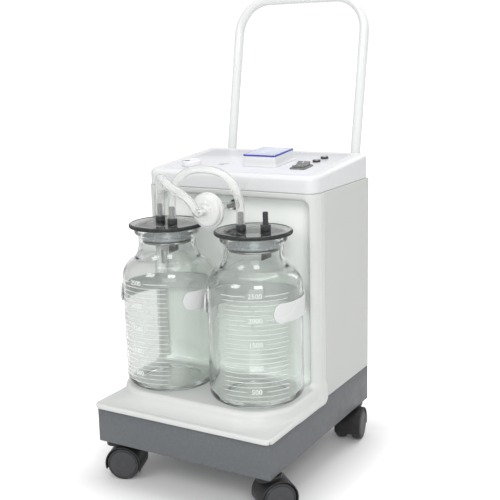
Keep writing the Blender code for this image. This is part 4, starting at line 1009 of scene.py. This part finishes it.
for side, sign in SIDES:
    piece(f"{side}_jar_glass", turned(jar_profile(), 144), "glass", "glass", f"{side}_jar",
          place=jar_matrix(sign), sharp=70)
    middle = SCALE_ANGLE[sign]
    ridges, figures = [], []
    for mark in range(3, TOP_MARK + 1):
        mark_z = TOP_MARK_Z + (mark - TOP_MARK) * MARK_PITCH
        if mark % 5:
            ridges.append(ridge(middle, -41, 41, mark_z, relief=0.42, half_height=0.52))
            continue
        # every fifth ridge is split round its figure
        for start, end in ((-43, -11), (11, 43)):
            ridges.append(ridge(middle, start, end, mark_z, relief=0.5, half_height=0.60))

        def wrap(x, y, z):
            angle = middle + x / JAR_R
            r = JAR_R + 0.05 + z + 0.22
            return r * cos(angle), r * sin(angle), mark_z + y

        figures.append(glyphs(str(mark * 100), 10.2, 0.5, wrap))
    for name, parts, material in (("scale", ridges, "ridge"), ("figures", figures, "figure")):
        piece(f"{side}_jar_{name}", joined(*parts), material, "glass",
              place=jar_matrix(sign), outward=False, sharp=50)

# ==================================================================== lids ==
# profiles are (r, z)
LID = [(0, LID_Z0), (28.0, LID_Z0), (30.0, LID_Z0 - 0.6), (30.8, LID_Z0 - 2.0),
       (30.8, PLUG_Z - 1.4), (31.3, PLUG_Z - 2.0), (35.4, PLUG_Z - 2.0), (36.0, PLUG_Z - 1.4),
       (36.0, PLUG_Z - 0.5), (35.4, PLUG_Z), (PLUG_R, PLUG_Z + 0.1), (PLUG_R, LID_Z0 - 1.2),
       (PLUG_R + 1.0, LID_Z0 - 0.1), (44.0, LID_Z0), (LID_R - 1.6, LID_Z0 + 0.1),
       (LID_R - 0.5, LID_Z0 + 0.5), (LID_R, LID_Z0 + 1.6), (LID_R, LID_Z1 - 1.9),
       (LID_R - 0.5, LID_Z1 - 0.6), (LID_R - 1.8, LID_Z1), (LID_R - 3.2, LID_Z1 - 0.1),
       (LID_R - 4.2, LID_Z1 - 0.7), (LID_R - 5.4, LID_Z1 - 0.9), (30.0, LID_Z1 - 0.7),
       (0, LID_Z1 - 0.5)]
SEAL_IN = PLUG_R + 0.3
SLEEVE = [(SEAL_IN, PLUG_Z + 3.6), (36.6, PLUG_Z + 3.6), (37.0, PLUG_Z + 4.2),
          (37.0, PLUG_Z + 7.0), (36.4, PLUG_Z + 7.6), (36.0, PLUG_Z + 8.2),
          (36.0, PLUG_Z + 10.2), (36.6, PLUG_Z + 10.8), (36.9, PLUG_Z + 11.6),
          (36.9, PLUG_Z + 14.0), (36.4, PLUG_Z + 14.8), (36.2, LID_Z0 - 2.4),
          (36.8, LID_Z0 - 0.5), (SEAL_IN, LID_Z0 - 0.5)]
RING = [(SEAL_IN, PLUG_Z + 0.4), (37.0, PLUG_Z + 0.4), (37.0, PLUG_Z + 3.3),
        (SEAL_IN, PLUG_Z + 3.3)]
RIM_BAND = [(LID_R + 0.05, LID_Z0 + 1.2), (LID_R + 0.75, LID_Z0 + 1.6),
            (LID_R + 0.75, LID_Z1 - 1.6), (LID_R + 0.05, LID_Z1 - 1.2)]
for side, sign in SIDES:
    on_lid = {"place": jar_matrix(sign), "sharp": 50}
    piece(f"{side}_lid_disc", turned(LID, 128), "lid", "lid_smoke", f"{side}_lid", **on_lid)
    piece(f"{side}_lid_sleeve", turned(SLEEVE, 96, closed=True), "seal", "rubber",
          f"{side}_lid_seal", **on_lid)
    piece(f"{side}_lid_ring", turned(soften(RING, 1.0, 4, closed=True), 96, closed=True),
          "rubber", "rubber", **on_lid)
    piece(f"{side}_lid_edge", turned(soften(RIM_BAND, 0.3, 3, closed=True), 128, closed=True),
          "rubber", "lid_smoke", **on_lid)

# ================================================================= nozzles ==
NOZZLE_OFFSET = 18.0                    # from the lid's middle
NOZZLE_ANGLE = {-1: radians(-24.0), 1: radians(23.0)}   # of the pair on each lid
NOZZLE_BORE = 2.4


def nozzle_at(sign, end):
    """(x, y) of the nozzle at the left (-1) or right (1) end of a lid's pair."""
    angle = NOZZLE_ANGLE[sign]
    return (sign * JAR_X + end * NOZZLE_OFFSET * cos(angle),
            JAR_Y + end * NOZZLE_OFFSET * sin(angle))


def octagon(r, z):
    """Eight-sided ring with trimmed corners, three points to a corner."""
    flat = r * cos(radians(22.5))
    ring = []
    for k in range(8):
        for turn in (-6, 0, 6):
            angle = radians(22.5 + 45 * k + turn)
            radius = min(flat / cos(radians(22.5 - abs(turn))), r * 0.985)
            ring.append((radius * cos(angle), radius * sin(angle), z))
    return ring


COLLAR = [(7.4, 0), (7.8, 0.5), (7.8, 3.0), (7.5, 3.3), (7.5, 3.9), (7.8, 4.2), (7.8, 7.4),
          (7.2, 8.2), (5.0, 8.5)]       # (r, height)


def nozzle(name, node, sign, end, stub_r, stub_z, slant):
    """Octagonal collar, hose barb above it and a stub hanging into the jar."""
    collar_z = LID_Z1 - 0.55
    collar = stack([octagon(r, collar_z + up) for r, up in COLLAR])
    barb_z = LID_Z1 + 7.0
    profile = [(NOZZLE_BORE, barb_z), (4.0, barb_z)]
    for i in range(4):
        z = barb_z + 3.0 + i * 4.0
        profile += [(4.02, z - 0.2), (4.25, z), (4.22, z + 0.3), (3.75, z + 3.2), (3.75, z + 3.6)]
    profile += [(3.5, barb_z + 18.2), (3.2, barb_z + 18.6), (2.5, barb_z + 18.6),
                (NOZZLE_BORE, barb_z + 18.2)]
    barb = turned(profile, 40, closed=True)
    stub_top = LID_Z0 - 1.3
    stub_verts, stub_faces = turned(
        [(NOZZLE_BORE, stub_z), (stub_r - 0.6, stub_z), (stub_r, stub_z + 0.6),
         (stub_r, stub_top), (4.9, stub_top), (4.9, collar_z + 1.0),
         (NOZZLE_BORE, collar_z + 1.0)], 40, closed=True)
    if slant:
        stub_verts = np.array(stub_verts, float)
        low = stub_verts[:, 2] < stub_z + 3.0
        stub_verts[low, 2] += (stub_verts[low, 0] + stub_r) * 0.5
    piece(name, joined(collar, barb, (stub_verts, stub_faces)), "nozzle", "black", node,
          place=Matrix.Translation((*nozzle_at(sign, end), 0)), sharp=35)


WIDE_STUB = {"stub_r": 7.4, "stub_z": 346.0, "slant": True}
nozzle("left_vacuum_hose_barb", "left_vacuum_nozzle", sign=-1, end=-1,
       stub_r=5.0, stub_z=352.0, slant=False)
nozzle("left_link_hose_barb", "left_link_nozzle", sign=-1, end=1, **WIDE_STUB)
nozzle("right_link_hose_barb", "right_link_nozzle", sign=1, end=-1,
       stub_r=5.0, stub_z=360.0, slant=False)
nozzle("right_inlet_hose_barb", "right_inlet_nozzle", sign=1, end=1, **WIDE_STUB)

# overflow cage and float below the vacuum nozzle
vacuum_x, vacuum_y = nozzle_at(-1, -1)
cage_place = Matrix.Translation((vacuum_x, vacuum_y, 0))
CAGE = [(5.3, 354.0), (8.0, 354.0), (8.0, 314.5), (2.5, 314.5), (2.5, 312.5), (9.5, 312.5),
        (9.5, 360.0), (5.3, 360.0)]     # (r, z)
piece("overflow_cage", turned(soften(CAGE, 0.7, 3, closed=True), 48, closed=True),
      "cage", "filter", "float_cage", place=cage_place,
      cuts=[moved(block(-2.5, 2.5, -20, 20, 330, 348), cage_place @ turn_z(angle))
            for angle in (45, 135)])
FLOAT_R = 6.6
ball = [(FLOAT_R * cos(radians(t)), FLOAT_R * sin(radians(t))) for t in range(-80, 81, 8)]
ball = [(r + (0.12 if abs(z) < 0.6 else 0.0), z) for r, z in ball]      # seam at the middle
piece("overflow_float", turned([(0, -FLOAT_R), *ball, (0, FLOAT_R)], 40), "ball", "clip",
      "float_ball", body="float", place=Matrix.Translation((vacuum_x, vacuum_y, 321.6)))

# =================================================================== clips ==
CLIP_Z, CLIP_HALF = 284.5, 14.0         # middle height and half height of the band
CLIP_IN, CLIP_OUT = JAR_R + 0.55, JAR_R + 3.1
CLIP_SPAN, CLIP_STEPS = 260.0, 96       # the band is open toward the front
clip_rings = []
for j in range(CLIP_STEPS + 1):
    angle = radians(-90 + 50 + CLIP_SPAN * j / CLIP_STEPS)
    from_end = min(j, CLIP_STEPS - j) / CLIP_STEPS * CLIP_SPAN * pi / 180 * (JAR_R + 2)
    # rounded ends that flare away from the glass
    reach = min(from_end / CLIP_HALF, 1.0)
    half = max(CLIP_HALF * sqrt(1 - (1 - reach) ** 2), 1.2)
    flare = 1.6 * max(0.0, 1 - from_end / 9.0) ** 2
    section = soften([(CLIP_IN, -half), (CLIP_OUT, -half), (CLIP_OUT, half), (CLIP_IN, half)],
                     0.9, 3, closed=True)
    clip_rings.append([((r + flare) * cos(angle), (r + flare) * sin(angle), CLIP_Z + z)
                       for r, z in section])
clip_foot = slab((-16, 16, CLIP_Z - 10, CLIP_Z + 10), JAR_R + 2.6, RECESS_Y - JAR_Y - 0.1, 3,
                 edge=0.6, segments=3, steps=4)
for side, sign in SIDES:
    piece(f"{side}_jar_clip", joined(stack(clip_rings), moved(clip_foot, XZ_PLAN)),
          "clip", "clip", f"{side}_clip", place=jar_matrix(sign), sharp=50)

# =================================================================== hoses ==
HOSE_R, HOSE_BORE = 6.3, 4.75           # both radii
HOSE_END_Z = LID_Z1 + 8.2               # hose end, pushed down over a lid nozzle
FILTER_AT = (0.0, -74.0, 416.0)
PORT_Z = 413.0


def from_point(origin, offsets):
    return [tuple(a + b for a, b in zip(origin, offset)) for offset in offsets]


def hose(name, node, controls, steps=7, side=(0, 1, 0)):
    piece(name, sweep(curve(controls, steps), HOSE_R, 32, HOSE_BORE, side),
          "tube", "silicone", node, sharp=60)


# offsets are (x, y, z); from a nozzle, z is the height from the floor
hose("vacuum_hose", "vacuum_tube",
     from_point((vacuum_x, vacuum_y, 0), [
         (0, 0, HOSE_END_Z), (0, 0, 412), (0, 0, 424), (0.8, -0.6, 448), (5.5, -4.5, 459.0),
         (16.0, -15.0, 461.0), (31, -26.0, 457.5), (46, -33.0, 451.5), (64, -36.5, 444.5)])
     + from_point(FILTER_AT, [
         (-10, -34.5, 19.5), (-2.5, -35.0, 10.5), (0, -32.0, 3.0), (0, -27, 0),
         (0, -21.0, 0), (0, -13.4, 0)]))
left_x, left_y = nozzle_at(-1, 1)
right_x, right_y = nozzle_at(1, -1)
hose("link_hose", "link_tube",
     from_point((left_x, left_y, 0), [
         (0, 0, HOSE_END_Z), (0, 0, 412), (0, 0, 425), (2.0, 2.5, 446), (13, 4.5, 463),
         (31, 5, 474)])
     + [((left_x + right_x) / 2 - 3, (left_y + right_y) / 2, 478)]
     + from_point((right_x, right_y, 0), [
         (-36, -1, 475.5), (-17, -0.5, 464.5), (-4.5, 0, 446), (0, 0, 426), (0, 0, 412),
         (0, 0, HOSE_END_Z)]))
hose("inlet_hose", "inlet_tube",
     from_point(FILTER_AT, [(0, 13.4, 0), (0, 25, 0), (0, 45, -0.7)])
     + [(0, -16, 413.2), (0, RECESS_Y - 5.6, PORT_Z)], steps=8, side=(1, 0, 0))

# ================================================== filter and inlet port ==
FILTER_R = 27.0
# (r, z) of one half: flange, domed shell, hose spigot and bore
FILTER = [(FILTER_R - inset, z) for inset, z in (
    (0.6, 0.2), (0, 0.7), (0, 2.2), (0.6, 2.8), (2.2, 2.9), (2.7, 3.4), (3.2, 5.4), (4.0, 7.0),
    (5.6, 8.4), (8.0, 9.3), (11, 9.75), (13, 9.9), (13.6, 10.4), (15.2, 10.5), (15.8, 10.1))]
FILTER = [(2.2, 0.2)] + FILTER + [
    (9.4, 10.5), (7.4, 11.2), (6.6, 12.2), (6.2, 13.0), (5.2, 13.2), (4.1, 13.4), (4.0, 13.8),
    (4.0, 16.0), (4.2, 16.4), (3.7, 19.4), (3.7, 19.8), (4.15, 20.4), (3.3, 25.0), (2.9, 25.4),
    (2.3, 25.4), (2.2, 25.0)]
rib = slab((9.5, 16.0, -0.55, 0.55), 9.0, 10.7, 0.3, edge=0.35, segments=2, steps=2, bottom=0.1)
for end, facing, rib_count in (("front", TO_FRONT, 0), ("back", TO_REAR, 12)):
    place = Matrix.Translation(FILTER_AT) @ facing
    ribs = [moved(rib, place @ turn_z(30 * k)) for k in range(rib_count)]
    piece(f"filter_{end}_half", joined(moved(turned(FILTER, 96, closed=True), place), *ribs),
          "filter", "filter", f"filter_{end}", sharp=50)

PORT = [(2.2, -19.5), (4.6, -19.5), (5.0, -19.0), (5.0, -0.2), (7.4, -0.2), (8.0, 0.4),
        (8.0, 4.2), (7.4, 4.9), (4.1, 5.0), (4.0, 5.4), (4.0, 9.0), (4.2, 9.4), (3.75, 13.0),
        (4.15, 13.6), (3.4, 21.5), (3.0, 22.0), (2.4, 22.0), (2.2, 21.6)]       # (r, z)
piece("inlet_port_barb", turned(PORT, 48, closed=True), "nozzle", "black", "inlet_port",
      place=Matrix.Translation((0, RECESS_Y - 0.3, PORT_Z)) @ TO_FRONT, sharp=40)

# ================================================================== handle ==
HANDLE_X, HANDLE_R = 118.75, 7.75       # half spacing of the legs, tube radius
HANDLE_BEND, HANDLE_TOP, HANDLE_END = 56.0, 729.0, 411.5


def handle_y(z):
    """The legs lean back as they rise."""
    return 194.8 + (z - 480.0) * tan(radians(10.5))


# (x, z) up the left leg and round the bend, then mirrored
handle = [(-HANDLE_X, z) for z in (HANDLE_END, 450.0, 520.0, 600.0, 640.0)]
handle += [(-HANDLE_X + HANDLE_BEND - HANDLE_BEND * cos(radians(t)),
            HANDLE_TOP - HANDLE_BEND + HANDLE_BEND * sin(radians(t))) for t in range(0, 91, 4)]
handle += [(-30, HANDLE_TOP)]
handle += [(-x, z) for x, z in reversed(handle)]
piece("push_handle",
      sweep([(x, handle_y(z), z) for x, z in handle], HANDLE_R, 48, HANDLE_R - 1.5),
      "handle", "handle", "handle_tube", sharp=60)

SOCKET_REAR = 199.0
hole_z, hole_r = HANDLE_END - 2.5, HANDLE_R + 0.4
hole_verts, hole_faces = turned([(0, hole_z), (hole_r, hole_z), (hole_r, 500), (0, 500)], 48)
for side, sign in SIDES:
    leg_x = sign * HANDLE_X
    leg_hole = [(x + leg_x, y + handle_y(z), z) for x, y, z in hole_verts]
    piece(f"handle_socket_{side}",
          slab((-14, 14, BASE_Y + 0.3, SOCKET_REAR), 398.0, 437.0, (0.8, 0.8, 9, 9),
               edge=1.6, segments=5, steps=7),
          "black", "black", f"handle_bracket_{side}",
          place=Matrix.Translation((leg_x, 0, 0)), cuts=[(leg_hole, hole_faces)])
    screws(f"handle_socket_screws_{side}",
           [(leg_x, SOCKET_REAR - 0.05, z) for z in (405.5, 429.5)], r=3.0)

# ================================================================= casters ==
WHEEL_R, WHEEL_W, WHEEL_GAP = 25.0, 15.0, 12.6
TRAIL = 14.0                            # from the swivel axis to the axle
HOOD_HALF = 21.4                        # half width of the cowl
HOOD_MID_R = 27.35                      # middle of the cowl's thickness
h = WHEEL_W / 2
TYRE = [(3.3, -h), (20.6, -h), (22.8, -h), (24.0, -h + 0.5), (24.8, -h + 1.6),
        (WHEEL_R, -h + 3.2), (WHEEL_R, h - 3.4), (24.8, h - 1.8), (24.1, h - 0.7),
        (23.1, h - 0.2), (22.2, h - 0.1), (21.6, h - 0.5), (21.4, h - 1.4), (3.3, h - 1.6)]
DISC = [(0, h - 2.4), (21.2, h - 2.4), (21.2, h - 0.9), (20.9, h - 0.35), (20.3, h - 0.1),
        (19.6, h + 0.0), (12.0, h + 0.25), (7.4, h + 0.32), (7.0, h + 0.1), (6.4, h + 0.1),
        (6.0, h + 0.34), (0, h + 0.38)]


def caster_hood():
    section = soften([(26.3, -HOOD_HALF), (28.4, -HOOD_HALF), (28.4, HOOD_HALF),
                      (26.3, HOOD_HALF)], 0.9, 3, closed=True)          # (r, y)
    rings = []
    for angle in range(-22, 199, 5):
        thin = 0.55 if angle in (-22, 198) else 1.0     # rounded lips at both ends
        ring = []
        for r, y in section:
            radius = HOOD_MID_R + (r - HOOD_MID_R) * thin
            ring.append((TRAIL + radius * cos(radians(angle)), y * (0.985 + 0.015 * thin),
                         WHEEL_R + radius * sin(radians(angle))))
        rings.append(ring)
    web = [(TRAIL + 27.0 * cos(radians(t)), WHEEL_R + 27.0 * sin(radians(t)))
           for t in range(-14, 195, 8)]
    web += arc(TRAIL, WHEEL_R, 13.0, 200, 340, 12)
    web_half, boss_half = WHEEL_GAP / 2 - 0.8, WHEEL_GAP / 2 - 0.5
    head = slab((TRAIL - 29, TRAIL + 9, -16, 16), 52.0, 58.8, 12, edge=1.2, steps=8)
    stem = turned(soften([(0, 52.0), (5.0, 52.0), (5.0, 74.5), (0, 74.5)], 0.6, 3), 40)
    boss = turned([(0, -boss_half), (7.5, -boss_half), (7.5, boss_half), (0, boss_half)], 40)
    return joined(stack(rings), moved(extrude(web, -web_half, web_half), XZ_PLAN), head, stem,
                  moved(boss, Matrix.Translation((TRAIL, 0, WHEEL_R)) @ TO_FRONT))


def caster(corner, sign_x, sign_y, swivel):
    body = f"caster_{corner}"
    place = Matrix.Translation((sign_x * 132.5, sign_y * 153.0, 0)) @ turn_z(swivel)
    piece(f"{body}_cowl", caster_hood(), "hood", "caster", f"{body}_hood", body=body,
          place=place, sharp=40)
    pin = turned(soften([(0, -19.0), (2.8, -19.0), (2.8, 19.0), (0, 19.0)], 0.5, 3), 32)
    piece(f"{body}_pin", pin, "steel", "steel", f"{body}_axle", body=body,
          place=place @ Matrix.Translation((TRAIL, 0, WHEEL_R)) @ TO_FRONT)
    for wheel, sign, facing in (("outer", -1, TO_FRONT), ("inner", 1, TO_REAR)):
        wheel_y = sign * (WHEEL_GAP / 2 + WHEEL_W / 2)
        wheel_place = place @ Matrix.Translation((TRAIL, wheel_y, WHEEL_R)) @ facing
        wheel_body = f"{body}_wheel_{wheel}"
        piece(f"{body}_tyre_{wheel}", turned(TYRE, 96, closed=True), "tread", "wheel",
              wheel_body, body=wheel_body, place=wheel_place, sharp=40)
        piece(f"{body}_disc_{wheel}", turned(DISC, 96), "cap", "wheel", body=wheel_body,
              place=wheel_place, sharp=30)


caster("front_left", -1, -1, swivel=20.0)
caster("front_right", 1, -1, swivel=50.0)
caster("rear_left", -1, 1, swivel=35.0)
caster("rear_right", 1, 1, swivel=-80.4)

# ============================================= pieces inside: CAD shapes ==
for node, key in (("chassis_plate", "steel_sheet"), ("regulator_valve", "brass"),
                  ("pump_motor", "cast"), ("pump_head", "cast"), ("pump_rotor", "steel")):
    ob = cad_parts[node]
    ob.data.materials.clear()
    ob.data.materials.append(MATERIALS[key])
    ob.data.shade_smooth()
    ob.data.set_sharp_from_angle(angle=radians(32))
    bevel = ob.modifiers.new("edge", "BEVEL")
    bevel.width = 0.0006
    bevel.segments = 2
    bevel.limit_method = "ANGLE"
    bevel.angle_limit = radians(40)


# =================================================================== stage ==
# From here on, lengths are in metres.
def floor_material():
    """Pale floor that glows, to the camera only, away from the product."""
    shader = Shader(bpy.data.materials.new("studio_floor"))
    x, y, _ = shader.separate()
    squares = []
    for coordinate, half in ((x, 0.15), (y, 0.18)):     # half sizes of the unlit rectangle
        beyond = shader.calc("SUBTRACT", shader.calc("ABSOLUTE", coordinate), half)
        squares.append(shader.calc("POWER", shader.calc("MAXIMUM", beyond, 0.0), 2.0))
    distance = shader.calc("SQRT", shader.calc("ADD", *squares))
    camera_ray = shader.node("ShaderNodeLightPath").outputs["Is Camera Ray"]
    glow = shader.remap(distance, 0.0, 0.6, start=0.0, end=0.20)
    shader.feed(shader.principled, {
        "Base Color": (0.80, 0.80, 0.80, 1),
        "Emission Color": (1, 1, 1, 1),
        "Emission Strength": shader.calc("MULTIPLY", glow, camera_ray),
        "Roughness": 0.6,
        "Specular IOR Level": 0.25})
    # uneven gloss about that roughness
    shader.feed(shader.principled, {"Roughness": shader.remap(shader.noise(3.0), 0.55, 0.65)})
    return shader.material


FLOOR_Z, FLOOR_HALF = -DROP * MM, 60
floor_data = bpy.data.meshes.new("floor")
floor_data.from_pydata([(x * FLOOR_HALF, y * FLOOR_HALF, FLOOR_Z) for x, y in
                        ((-1, -1), (1, -1), (1, 1), (-1, 1))], [], [(0, 1, 2, 3)])
floor_data.materials.append(floor_material())
floor = bpy.data.objects.new("floor", floor_data)
SCENE.collection.objects.link(floor)

# white world, brighter to the camera than as a light
world = bpy.data.worlds.new("studio")
SCENE.world = world
world.use_nodes = True
tree = world.node_tree
background = tree.nodes["Background"]
rays = tree.nodes.new("ShaderNodeLightPath")
strength = tree.nodes.new("ShaderNodeMix")
strength.data_type = "FLOAT"
strength.inputs[2].default_value = 0.70     # as a light
strength.inputs[3].default_value = 1.05     # as seen
tree.links.new(rays.outputs["Is Camera Ray"], strength.inputs[0])
tree.links.new(strength.outputs[0], background.inputs["Strength"])
background.inputs["Color"].default_value = (1, 1, 1, 1)


def area(name, at, aim, size, power):
    """Rectangular light; at and aim are heights from the floor."""
    light = bpy.data.lights.new(name, "AREA")
    light.shape = "RECTANGLE"
    light.size, light.size_y = size
    light.energy = power
    ob = bpy.data.objects.new(name, light)
    SCENE.collection.objects.link(ob)
    ob.location = Vector(at) + Vector((0, 0, FLOOR_Z))
    ob.rotation_euler = (Vector(aim) - Vector(at)).to_track_quat("-Z", "Y").to_euler()
    return ob


front_fill = area("front_fill", at=(1.45, -2.15, 0.95), aim=(0, 0, 0.3), size=(1.6, 1.3),
                  power=18.5)
front_fill.visible_glossy = False
area("key_softbox", at=(-0.7, -1.9, 1.7), aim=(0, 0, 0.3), size=(0.78, 0.78), power=10.0)
area("side_softbox", at=(1.35, -1.6, 1.75), aim=(0, 0, 0.3), size=(0.78, 0.78), power=13.0)
area("top_softbox", at=(0.0, 0.4, 2.4), aim=(0, 0, 0.2), size=(1.6, 1.6), power=21.0)
area("rim_softbox", at=(0.4, 2.2, 1.3), aim=(0, 0, 0.4), size=(1.2, 1.2), power=8.0)

# camera in front and to the right, looking back, left and slightly down
CAMERA_AT = (0.71867, -1.17938, 0.64595)    # height from the floor
yaw, pitch, roll = radians(30.4), radians(12.48), radians(-1.44)
forward = Vector((-sin(yaw) * cos(pitch), cos(yaw) * cos(pitch), -sin(pitch)))
level = Vector((cos(yaw), sin(yaw), 0))
upright = level.cross(forward)
right = level * cos(roll) + upright * sin(roll)
up = upright * cos(roll) - level * sin(roll)
camera_data = bpy.data.cameras.new("camera")
camera_data.sensor_width = 36.0
camera_data.lens = 65.02824
camera_data.clip_end = 50.0
camera = bpy.data.objects.new("camera", camera_data)
SCENE.collection.objects.link(camera)
camera.matrix_world = Matrix((
    (right.x, up.x, -forward.x, CAMERA_AT[0]),
    (right.y, up.y, -forward.y, CAMERA_AT[1]),
    (right.z, up.z, -forward.z, CAMERA_AT[2] + FLOOR_Z),
    (0, 0, 0, 1)))
SCENE.camera = camera
SCENE.view_settings.view_transform = "Standard"
SCENE.view_settings.look = "None"
SCENE.view_settings.exposure = 0.0

bpy.context.view_layer.update()
